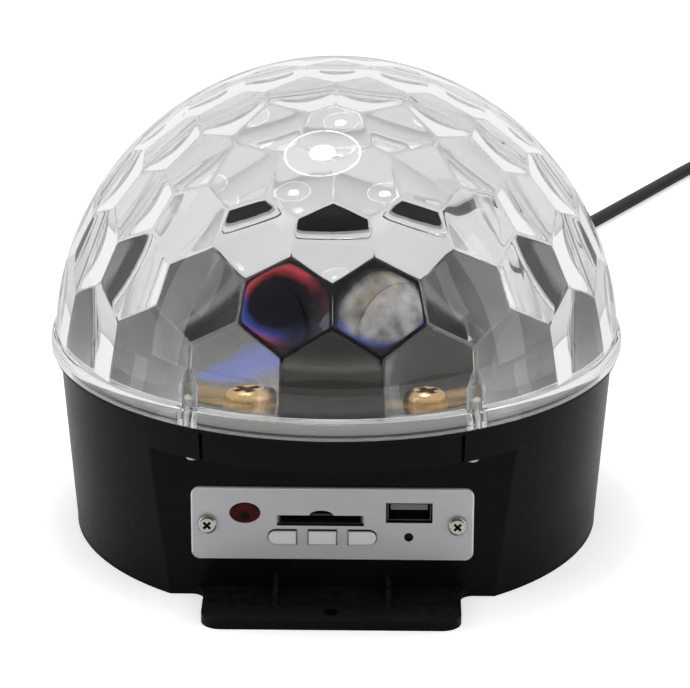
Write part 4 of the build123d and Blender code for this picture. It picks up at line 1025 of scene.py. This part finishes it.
def rib_piece(dome, posts, base):
    """Thin upright ribs that run up the wall from each screw post."""
    mesh = bmesh.new()
    far = dome.outer_radius - RIB_SINK
    for post in range(posts.count):
        azimuth = math.degrees(posts.first_azimuth) + 360 / posts.count * post
        sides = []
        for half in (-posts.rib_width / 2, posts.rib_width / 2):
            away = front_point(half, azimuth + 90, 0)
            inner, outer = [], []
            for step in range(RIB_STEPS + 1):
                climb = RIB_FOOT + (posts.rib_height - RIB_FOOT) * step / RIB_STEPS
                angle = math.asin(climb / dome.outer_radius)
                depth = posts.rib_depth * math.sqrt(1 - (step / RIB_STEPS) ** 3 * RIB_TAPER)
                for line, ball in ((outer, far), (inner, far - depth)):
                    height = base + ball * math.sin(angle)
                    line.append(away + front_point(ball * math.cos(angle), azimuth, height))
            sides.append([mesh.verts.new(spot) for spot in outer + inner[::-1]])
        join_rings(mesh, sides[0], sides[1])
        mesh.faces.new(sides[0])
        mesh.faces.new(sides[1])
    bmesh.ops.recalc_face_normals(mesh, faces=mesh.faces[:])
    return piece_from(mesh, "post_ribs")


# Node trees
SOCKET_KINDS = {int: "NodeSocketInt", float: "NodeSocketFloat", type(None): "NodeSocketMaterial"}
POST_FACETS = 28
HEAD_FACETS = 40
HEAD_LEVELS = 8
HEAD_CROWN = 0.6
HEAD_CURVE = 4.0
RECESS_LENGTH = 1.15


def geometry_tree(name, inputs):
    """New geometry node group with these inputs and a material, and one geometry output."""
    tree = bpy.data.node_groups.new(name, "GeometryNodeTree")
    tree.interface.new_socket("Geometry", in_out="INPUT", socket_type="NodeSocketGeometry")
    for label, value in {**inputs, "Material": None}.items():
        socket = tree.interface.new_socket(label, in_out="INPUT", socket_type=SOCKET_KINDS[type(value)])
        if value is not None:
            socket.default_value = value
    tree.interface.new_socket("Geometry", in_out="OUTPUT", socket_type="NodeSocketGeometry")
    return tree, tree.nodes.new("NodeGroupInput").outputs


def tall_cylinder(tree, facets, levels, radius):
    """Cylinder from -1 to 1, with the X, Y and Z of its points."""
    mesh = add_node(tree, "GeometryNodeMeshCylinder", {
        "Vertices": facets, "Side Segments": levels, "Depth": 2.0, "Radius": radius}, "Mesh")
    return mesh, *split(add_node(tree, "GeometryNodeInputPosition"))


def reshape(mesh, x, y, z):
    """Gives the points of a mesh a new place."""
    return add_node(mesh.id_data, "GeometryNodeSetPosition", {"Geometry": mesh, "Position": join(x, y, z)})


def lift_and_turn(mesh, height, angle):
    """Moves a mesh up and turns it about the Z axis."""
    return add_node(mesh.id_data, "GeometryNodeTransform", {
        "Geometry": mesh,
        "Translation": join(0.0, 0.0, height),
        "Rotation": join(0.0, 0.0, angle),
    })


def finish_tree(tree, points, instance, material):
    """Ends a tree in realized instances on points, which carry a material."""
    copies = add_node(tree, "GeometryNodeInstanceOnPoints", {"Points": points, "Instance": instance})
    real = add_node(tree, "GeometryNodeRealizeInstances", {0: copies})
    painted = add_node(tree, "GeometryNodeSetMaterial", {"Geometry": real, "Material": material})
    feed(tree.nodes.new("NodeGroupOutput"), {0: painted})
    return tree


def screw_post_tree():
    """Clear posts with a tapered tip, evenly spaced on a circle."""
    tree, given = geometry_tree("Screw posts", {
        "Count": 6,
        "Circle radius": 83.0 * MM,
        "First angle": 0.0,
        "Base height": 59.0 * MM,
        "Post radius": 3.0 * MM,
        "Post height": 10.7 * MM,
        "Tip height": 5.0 * MM,
        "Tip radius": 1.2 * MM,
    })
    post, x, y, z = tall_cylinder(tree, POST_FACETS, 2, given["Post radius"])
    high = add_math("GREATER_THAN", z, 0.5)
    middle = add_math("GREATER_THAN", z, -0.5)
    taper = minus(1.0, add_math("DIVIDE", given["Tip radius"], given["Post radius"]))
    shrink = minus(1.0, times(high, taper))
    tall = plus(times(middle, given["Post height"]), times(high, given["Tip height"]))
    shape = reshape(post, times(x, shrink), times(y, shrink), tall)
    spots = add_node(tree, "GeometryNodeMeshCircle", {
        "Vertices": given["Count"], "Radius": given["Circle radius"]}, "Mesh")
    spots = lift_and_turn(spots, given["Base height"], given["First angle"])
    return finish_tree(tree, spots, shape, given["Material"])


def dish_screw_tree():
    """Pan heads with a cross recess, one upright on each point of the input."""
    tree, given = geometry_tree("Dish screws", {
        "Head radius": 3.2 * MM,
        "Head height": 2.6 * MM,
        "Recess width": 1.2 * MM,
        "Recess depth": 1.3 * MM,
        "Recess turn": 0.6,
    })
    head, x, y, z = tall_cylinder(tree, HEAD_FACETS, HEAD_LEVELS, given["Head radius"])
    level = times(plus(z, 1.0), 0.5)
    crown = times(add_math("POWER", level, HEAD_CURVE), HEAD_CROWN)
    narrow = add_math("SQRT", minus(1.0, crown))
    tall = times(level, given["Head height"])
    shape = reshape(head, times(x, narrow), times(y, narrow), tall)
    length = times(given["Head radius"], RECESS_LENGTH)
    width = given["Recess width"]
    arms = tree.nodes.new("GeometryNodeJoinGeometry")
    for across, along in ((length, width), (width, length)):
        size = join(across, along, times(given["Recess depth"], 2.0))
        feed(arms, {0: add_node(tree, "GeometryNodeMeshCube", {"Size": size}, "Mesh")})
    cross = lift_and_turn(arms.outputs[0], given["Head height"], given["Recess turn"])
    cut = add_node(tree, "GeometryNodeMeshBoolean", {
        "Mesh 1": shape,
        "Mesh 2": cross,
        "Self Intersection": True,
    }, "Mesh", operation="DIFFERENCE", solver="EXACT")
    return finish_tree(tree, given["Geometry"], cut, given["Material"])


def run_tree(piece, tree, **values):
    """Runs a tree on a piece with these inputs and keeps what it makes as a plain mesh."""
    modifier = piece.modifiers.new(tree.name, "NODES")
    modifier.node_group = tree
    for item in tree.interface.items_tree:
        key = item.name.lower().replace(" ", "_")
        if item.in_out == "INPUT" and key in values:
            modifier[item.identifier] = values[key]
    return bake_modifiers(piece)


# Lead: places and runs in millimetres, bends in degrees
CLIMB_TURNS = 0.5
GLAND_END = Vector((55.011, 84.710, 14.0)) * MM
FLOOR_ROUTE = [
    (70.261, 108.192, 14.0),
    (80.0, 144.0, 6.5),
    (80.5, 188.0, 2.65),
    (73.5, 228.0, 2.65),
    (82.5, 265.0, 2.65),
    (117.5, 322.0, 2.65),
    (151.5, 378.5, 2.65),
    (184.21, 428.80, 2.65),
]
TAIL_START = 14
TAIL_BENDS = ((-24, 24), (-22, 20))
PLUG_HEIGHT = 7 * MM


def coil_points(lead, start, heading):
    """Points of the coil, inwards on the floor and outwards on top, and where its end points."""
    right = Vector((heading.y, -heading.x, 0))
    centre = start + heading * lead.diameter + right * lead.coil_radius
    first = math.atan2(heading.x, -heading.y)
    turns = lead.turns_in + CLIMB_TURNS + lead.turns_out
    steps = round(turns * lead.points_per_turn)
    innermost = lead.turns_in + CLIMB_TURNS / 2
    points = []
    for step in range(steps + 1):
        turn = turns * step / steps
        climb = min(max((turn - lead.turns_in) / CLIMB_TURNS, 0), 1)
        ease = climb * climb * (3 - 2 * climb)
        radius = lead.coil_radius - lead.pitch * (innermost - abs(turn - innermost))
        angle = first - FULL_TURN * turn
        points.append(Vector((centre.x + radius * math.cos(angle), centre.y + radius * math.sin(angle),
                              lead.rest_height + lead.pitch * ease)))
    outward = Vector((math.cos(angle), math.sin(angle), 0))
    along = Vector((outward.y, -outward.x, 0))
    return points, (outward * lead.pitch + along * FULL_TURN * radius).normalized()


def lead_points(lead):
    """All control points of the lead, from the gland to the plug."""
    points = [GLAND_END] + [Vector(spot) * MM for spot in FLOOR_ROUTE]
    heading = (points[-1] - points[-2]).normalized()
    coil, way = coil_points(lead, points[-1], heading)
    start = coil[-1] + way * lead.diameter
    points += [*coil, start, start + way * TAIL_START * MM]
    for turn, run in TAIL_BENDS:
        way = Matrix.Rotation(math.radians(turn), 3, "Z") @ way
        points.append(points[-1] + way * run * MM)
        points[-1].z = PLUG_HEIGHT
    return points


# Studio, lead and emitters
SENSOR_WIDTH = 36.0
FARTHEST = 50.0
WHITE = (1.0, 1.0, 1.0)
CEILING_EDGE = (0.5, 0.95)
FRONT_EDGE = (-0.6, 0.0)
# Ray Depth counts one more than the bounces
FIRST_MIRROR = 1.5
LAST_EARLY = 4.5
FLOOR_RADIUS = 6.0
CIRCLE_STEPS = 96
FLOOR_GLOW = 0.5
FLOOR_GLOW_IN_GLASS = 0.3
GLOW_REACH = (0.2, 1.1)
LAMP_WAY = Vector((-0.082, 0.151, 0.985)).normalized()
LAMP_TARGET = Vector((0, -0.045, 0.134))
LAMP_RADIANCE = 1.7
CORE_RADIANCE = 14.0
CORE_SHARE = 0.34
CORE_DROP = 0.02
RING_DROP = 0.01
RING_TUBE = 0.007
RING_SIDES = 10
SIDE_PLACES = {"left_panel": (-1.3, -0.5, 0.55), "right_panel": (1.3, -0.4, 0.55)}
SIDE_TARGET = (0, 0, 0.05)
SIDE_SIZE = (0.36, 1.1)
SIDE_RADIANCE = 1.6
EMITTER_COLOURS = {
    "red": (0.62, 0.02, 0.02),
    "green": (0.03, 0.45, 0.08),
    "blue": (0.02, 0.06, 0.62),
    "amber": (0.70, 0.32, 0.03),
    "white": (0.80, 0.74, 0.42),
    "violet": (0.28, 0.04, 0.50),
}


# Operators
class StudioBuilder(bpy.types.Operator):
    """Sets up the camera, the pale floor and the soft lamps"""

    bl_idname = "disco.build_studio"
    bl_label = "Studio"

    def execute(self, context):
        studio = context.scene.disco_studio
        self.add_camera(context, studio)
        self.add_room(context, studio)
        self.add_floor()
        self.add_lamps(studio)
        context.scene.view_settings.view_transform = "Standard"
        return {"FINISHED"}

    def add_camera(self, context, studio):
        data = bpy.data.cameras.new("photo_camera")
        data.lens = studio.lens
        data.sensor_width = SENSOR_WIDTH
        data.clip_end = FARTHEST
        camera = link(bpy.data.objects.new("photo_camera", data))
        ahead = Vector(studio.camera_aim).normalized()
        right = ahead.cross(Vector((0, 0, 1))).normalized()
        up = right.cross(ahead)
        turned = right * math.cos(studio.camera_roll) + up * math.sin(studio.camera_roll)
        axes = Matrix((turned, turned.cross(ahead), -ahead)).transposed()
        camera.matrix_world = Matrix.Translation(Vector(studio.camera_place)) @ axes.to_4x4()
        context.scene.camera = camera

    def add_room(self, context, studio):
        """Even light on the object, and walls that show to the camera, in gloss and through glass."""
        world = bpy.data.worlds.new("pale_room")
        world.use_nodes = True
        context.scene.world = world
        tree = world.node_tree
        tree.nodes.clear()
        path = tree.nodes.new("ShaderNodeLightPath").outputs
        seen = add_math("MAXIMUM", path["Is Camera Ray"], path["Is Transmission Ray"])
        seen = add_math("MAXIMUM", seen, path["Is Glossy Ray"])
        walls = add_node(tree, "ShaderNodeBackground", {"Color": self.room_colour(tree, path, studio)})
        fill = add_node(tree, "ShaderNodeBackground", {"Color": WHITE, "Strength": studio.fill})
        mix = add_node(tree, "ShaderNodeMixShader", {"Fac": seen, 1: fill, 2: walls})
        feed(tree.nodes.new("ShaderNodeOutputWorld"), {"Surface": mix})

    def room_colour(self, tree, path, studio):
        """White walls; a first reflection also shows a dark front and a greyer ceiling."""
        way = split(add_node(tree, "ShaderNodeTexCoord", result="Generated"))
        ceiling = map_range(way["Z"], *CEILING_EDGE, 1.0, studio.ceiling)
        front = map_range(way["Y"], *FRONT_EDGE, studio.front, 1.0)
        mirrored = minus(path["Ray Depth"], path["Transmission Depth"])
        mirrored = add_math("GREATER_THAN", mirrored, FIRST_MIRROR)
        early = add_math("LESS_THAN", path["Ray Depth"], LAST_EARLY)
        plain = minus(1.0, times(mirrored, early))
        grey = add_math("MAXIMUM", add_math("MINIMUM", ceiling, front), plain)
        return join(grey, grey, grey)

    def add_floor(self):
        """Pale floor that also glows a little where the camera sees it."""
        floor = mesh_piece("pale_floor", circle(FLOOR_RADIUS, 0, CIRCLE_STEPS), [range(CIRCLE_STEPS)])
        material, tree, shader = new_material("pale_floor_paint")
        grain = place_group(tree, "Moulded grain", size=60.0, blotch_size=2.0)["Tone"]
        path = tree.nodes.new("ShaderNodeLightPath").outputs
        away = vector_math("LENGTH", object_place(tree), result="Value")
        near = map_range(away, *GLOW_REACH, FLOOR_GLOW_IN_GLASS, 0.0)
        seen = times(path["Is Camera Ray"], FLOOR_GLOW)
        through = times(path["Is Transmission Ray"], near)
        feed(shader, {
            "Base Color": colour_mix(grain, (0.86, 0.86, 0.86), (0.9, 0.9, 0.9)),
            "Roughness": spread(grain, 0.75, 0.9),
            "Emission Color": WHITE,
            "Emission Strength": add_math("MAXIMUM", seen, through),
        })
        paint(material, floor)

    def area_lamp(self, name, place, target, radiance, width, depth=None):
        """Round lamp, or a rectangular one if it has a depth, that looks at a target."""
        data = bpy.data.lights.new(name, "AREA")
        data.shape = "RECTANGLE" if depth else "DISK"
        data.size = width
        if depth:
            data.size_y = depth
        area = width * depth if depth else math.pi * (width / 2) ** 2
        data.energy = radiance * math.pi * area
        lamp = link(bpy.data.objects.new(name, data))
        way = (Vector(target) - Vector(place)).normalized()
        axes = way.to_track_quat("-Z", "Y").to_matrix()
        lamp.matrix_world = Matrix.Translation(Vector(place)) @ axes.to_4x4()

    def add_lamps(self, studio):
        place = LAMP_TARGET + LAMP_WAY * studio.lamp_height
        core = place - LAMP_WAY * CORE_DROP
        width = studio.lamp_radius * 2
        self.area_lamp("round_lamp", place, LAMP_TARGET, LAMP_RADIANCE, width)
        self.area_lamp("lamp_core", core, LAMP_TARGET, CORE_RADIANCE, width * CORE_SHARE)
        self.add_lamp_ring(studio, place - LAMP_WAY * RING_DROP)
        for name, side_place in SIDE_PLACES.items():
            self.area_lamp(name, side_place, SIDE_TARGET, SIDE_RADIANCE, *SIDE_SIZE)

    def add_lamp_ring(self, studio, place):
        """Bright tube round the lamp, which shows in gloss and glass."""
        axes = LAMP_WAY.to_track_quat("Z", "Y").to_matrix()
        points, faces = [], []
        for i in range(CIRCLE_STEPS):
            angle = FULL_TURN * i / CIRCLE_STEPS
            row, next_row = i * RING_SIDES, (i + 1) % CIRCLE_STEPS * RING_SIDES
            for j in range(RING_SIDES):
                bend = FULL_TURN * j / RING_SIDES
                reach = studio.lamp_radius + RING_TUBE * math.cos(bend)
                local = Vector((reach * math.cos(angle), reach * math.sin(angle), RING_TUBE * math.sin(bend)))
                points.append(place + axes @ local)
                after = (j + 1) % RING_SIDES
                faces.append((row + j, next_row + j, next_row + after, row + after))
        ring = mesh_piece("lamp_ring", points, faces)
        material, _, shader = new_material("lamp_ring_glow")
        feed(shader, {"Emission Color": WHITE, "Emission Strength": CORE_RADIANCE})
        paint(material, ring)
        ring.visible_camera = False


class LeadBuilder(bpy.types.Operator):
    """Lays the mains lead and its put-away coil as one smooth curve"""

    bl_idname = "disco.lay_lead"
    bl_label = "Mains lead"

    def execute(self, context):
        lead = context.scene.disco_lead
        points = lead_points(lead)
        curve = bpy.data.curves.new("mains_lead", "CURVE")
        curve.dimensions = "3D"
        spline = curve.splines.new("NURBS")
        spline.points.add(len(points) - 1)
        for target, point in zip(spline.points, points):
            target.co = (*point, 1.0)
        spline.order_u = 3
        spline.use_endpoint_u = True
        curve.bevel_depth = lead.diameter / 2
        curve.bevel_resolution = 6
        curve.resolution_u = 6
        curve.use_fill_caps = True
        cord = link(bpy.data.objects.new("mains_lead", curve))
        sheath = plastic("lead_sheath", (0.006, 0.006, 0.007), 0.42, grain=1400.0, dust=0.05, gloss=0.2)
        paint(sheath, cord, "strain_relief", "plug_body")
        paint(metal("plated_pins", (0.66, 0.62, 0.52), 0.2, (200.0, 200.0, 200.0)), "plug_pins")
        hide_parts("cord", "cord_coil", "cord_tail")
        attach(cord, "base")
        return {"FINISHED"}


class DomeBuilder(bpy.types.Operator):
    """Moulds the clear dome with its lenses and screw posts"""

    bl_idname = "disco.mould_dome"
    bl_label = "Lens dome"

    def execute(self, context):
        dome, posts = context.scene.disco_dome, context.scene.disco_posts
        base = FLANGE_LOW.z + dome.seat_gap
        satin = clear_material("satin_clear_posts", (0.96, 0.96, 0.965), 0.3, satin=0.42)
        piece = piece_from(dome_mesh(dome, base), "lens_dome")
        paint(clear_material("clear_dome", (0.87, 0.87, 0.875), 0.08), piece)
        ribs = rib_piece(dome, posts, base)
        paint(satin, ribs)
        for part in (self.grow_posts(posts, base, satin), ribs):
            union = piece.modifiers.new("union", "BOOLEAN")
            union.operation = "UNION"
            union.solver = "EXACT"
            union.material_mode = "TRANSFER"
            union.object = part
            bake_modifiers(piece)
            bpy.data.objects.remove(part)
        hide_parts("dome")
        settle(piece)
        self.seat_dome(dome, posts, context.scene.disco_seat)
        return {"FINISHED"}

    def grow_posts(self, posts, base, satin):
        """Posts of clear plastic, still apart from the dome."""
        return run_tree(
            mesh_piece("screw_posts", [], []),
            screw_post_tree(),
            count=posts.count,
            circle_radius=posts.circle_radius,
            first_angle=posts.first_azimuth - QUARTER_TURN,
            base_height=base,
            post_radius=posts.radius,
            post_height=posts.height,
            tip_height=posts.tip_height,
            tip_radius=posts.tip_radius,
            material=satin,
        )

    def seat_dome(self, dome, posts, seat):
        """Black collar on the deck inside the flange, with a pale gasket over it."""
        outside = dome.flange_radius - dome.flange_wall - seat.clearance
        behind = outside - seat.sleeve_width
        inside = outside - seat.width
        lip = inside - seat.lip
        low = FLANGE_LOW.z
        foot = low + seat.sleeve_foot
        middle = low + seat.collar_height
        high = middle + seat.gasket_height
        bevel = seat.bevel
        half_gap = math.degrees(math.asin((posts.radius + seat.post_gap) / posts.circle_radius))
        section = [(inside, low), (behind, low), (behind, middle), (inside + bevel, middle),
                   (inside, middle - bevel)]
        collar = arc_piece("deck_collar", section, posts, half_gap)
        paint(plastic("black_collar", (0.004, 0.004, 0.005), 0.4, gloss=0.1, marks=0.1, dust=0.0), collar)
        settle(collar)
        section = [(lip, middle), (behind, middle), (behind, foot), (outside, foot), (outside, high - bevel),
                   (outside - bevel, high), (lip + bevel, high), (lip, high - bevel)]
        gasket = arc_piece("dome_gasket", section, posts, half_gap)
        paint(gasket_material(foot, middle), gasket)
        settle(gasket)


class HousingDresser(bpy.types.Operator):
    """Finishes the black base, its cover and its screws"""

    bl_idname = "disco.dress_housing"
    bl_label = "Base housing"

    def execute(self, context):
        colour = tuple(context.scene.disco_finishes.housing)
        paint(plastic("satin_black_housing", colour, 0.27, grain=1100.0, depth=0.004 * MM, marks=0.15,
                      dust=0.03, gloss=0.09), "base_housing")
        paint(plastic("black_cover", colour, 0.34, grain=700.0, depth=0.012 * MM, marks=0.15,
                      dust=0.04, gloss=0.09), "bottom_cover")
        paint(metal("nickel_screws", (0.60, 0.58, 0.53), 0.24, (500.0, 500.0, 500.0)),
              "dome_screws", "cover_screws", "chassis_screws", "motor_screws")
        return {"FINISHED"}


class PanelDresser(bpy.types.Operator):
    """Finishes the front panel, its buttons, window, sockets and player board"""

    bl_idname = "disco.dress_panel"
    bl_label = "Front panel"

    def execute(self, context):
        board = tuple(context.scene.disco_finishes.board)
        paint(panel_material(), "control_panel")
        paint(button_material(), "button_previous", "button_play", "button_next")
        paint(panel_screw_material(), "panel_screws")
        paint(window_material(), "ir_window")
        paint(card_socket_material(), "card_socket")
        paint(plastic("receiver_black", (0.01, 0.008, 0.01), 0.15), "ir_receiver")
        paint(metal("dull_plated_shell", (0.07, 0.07, 0.07), 0.35, (40.0, 700.0, 40.0)), "usb_shell")
        paint(plastic("grey_tongue", (0.22, 0.22, 0.23), 0.4, grain=1600.0, dust=0.03), "usb_tongue")
        paint(plastic("black_component", (0.006, 0.006, 0.007), 0.5, grain=1600.0, dust=0.03, gloss=0.25),
              "player_chips", "tact_switches", "microphone")
        paint(board_material("green_board", board, lighter(board, 0.06)),
              "player_board", "power_board", "driver_board")
        return {"FINISHED"}


class EngineDresser(bpy.types.Operator):
    """Finishes the dish, the turning turret, the motor and the coloured lamps"""

    bl_idname = "disco.dress_engine"
    bl_label = "Light engine"

    def execute(self, context):
        paint(dish_material(), "reflector_dish")
        paint(plastic("brown_black_holder", (0.105, 0.095, 0.078), 0.35, grain=1200.0, marks=0.1, dust=0.0,
                      gloss=0.15), "lens_holder")
        paint(turret_material("dark_turret", (0.2, 0.3)), "lens_turret")
        paint(turret_material("dark_turret_lenses", (0.04, 0.12)), "turret_lenses")
        paint(metal("plain_aluminium", (0.70, 0.70, 0.71), 0.32, (600.0, 60.0, 60.0)), "heat_sink")
        paint(board_material("white_lamp_board", (0.62, 0.62, 0.60), (0.45, 0.45, 0.43)), "lamp_board")
        paint(metal("zinc_plate", (0.56, 0.57, 0.58), 0.34, (60.0, 600.0, 60.0)),
              "chassis_plate", "gear_motor", "motor_shaft")
        paint(winding_material(), "transformer")
        paint(plastic("capacitor_sleeve", (0.02, 0.03, 0.10), 0.28, coat=0.3), "capacitors")
        paint(metal("speaker_steel", (0.42, 0.42, 0.43), 0.36), "speaker_basket")
        paint(plastic("pressed_paper", (0.02, 0.02, 0.022), 0.85, grain=500.0, depth=0.1 * MM),
              "speaker_cone")
        for name, colour in EMITTER_COLOURS.items():
            paint(emitter_material("unlit_" + name, colour), "emitter_" + name)
        self.drive_screws(context.scene.disco_dish_screws)
        return {"FINISHED"}

    def drive_screws(self, screws):
        """Brass screws that stand on the slope of the dish."""
        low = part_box("reflector_dish")[0].z
        height = low + (FLANGE_LOW.z - low) * screws.level_share
        turns = (screws.spread, math.pi - screws.spread, math.pi + screws.spread, -screws.spread)
        points = [front_point(screws.circle_radius, math.degrees(turn), height) for turn in turns]
        piece = run_tree(
            mesh_piece("dish_screws", points, []),
            dish_screw_tree(),
            head_radius=screws.head_radius,
            head_height=screws.head_height,
            recess_width=screws.recess_width,
            recess_depth=screws.recess_depth,
            recess_turn=screws.recess_turn,
            material=metal("brass_screws", (0.72, 0.47, 0.19), 0.26, (400.0, 400.0, 400.0)),
        )
        settle(piece)


SETTINGS = {
    "disco_dome": LensDomeSettings,
    "disco_posts": ScrewPostSettings,
    "disco_seat": SeatSettings,
    "disco_lead": LeadSettings,
    "disco_dish_screws": DishScrewSettings,
    "disco_finishes": FinishSettings,
    "disco_studio": StudioSettings,
}
BUILDERS = [StudioBuilder, LeadBuilder, DomeBuilder, HousingDresser, PanelDresser, EngineDresser]


class DiscoLightPanel(bpy.types.Panel):
    """Builders and sizes of the disco light"""

    bl_idname = "VIEW3D_PT_disco_light"
    bl_label = "Disco light"
    bl_space_type = "VIEW_3D"
    bl_region_type = "UI"
    bl_category = "Disco light"

    def draw(self, context):
        for builder in BUILDERS:
            self.layout.operator(builder.bl_idname)
        for name, group in SETTINGS.items():
            box = self.layout.box()
            for field in group.__annotations__:
                box.prop(getattr(context.scene, name), field)


def register():
    for name, group in SETTINGS.items():
        bpy.utils.register_class(group)
        setattr(bpy.types.Scene, name, bpy.props.PointerProperty(type=group))
    for shown in (*BUILDERS, DiscoLightPanel):
        bpy.utils.register_class(shown)


def unregister():
    for shown in (DiscoLightPanel, *reversed(BUILDERS)):
        bpy.utils.unregister_class(shown)
    for name, group in reversed(SETTINGS.items()):
        delattr(bpy.types.Scene, name)
        bpy.utils.unregister_class(group)


def main():
    register()
    for builder in BUILDERS:
        step = getattr(bpy.ops.disco, builder.bl_idname.split(".")[1])
        step()


if __name__ == "__main__":
    main()
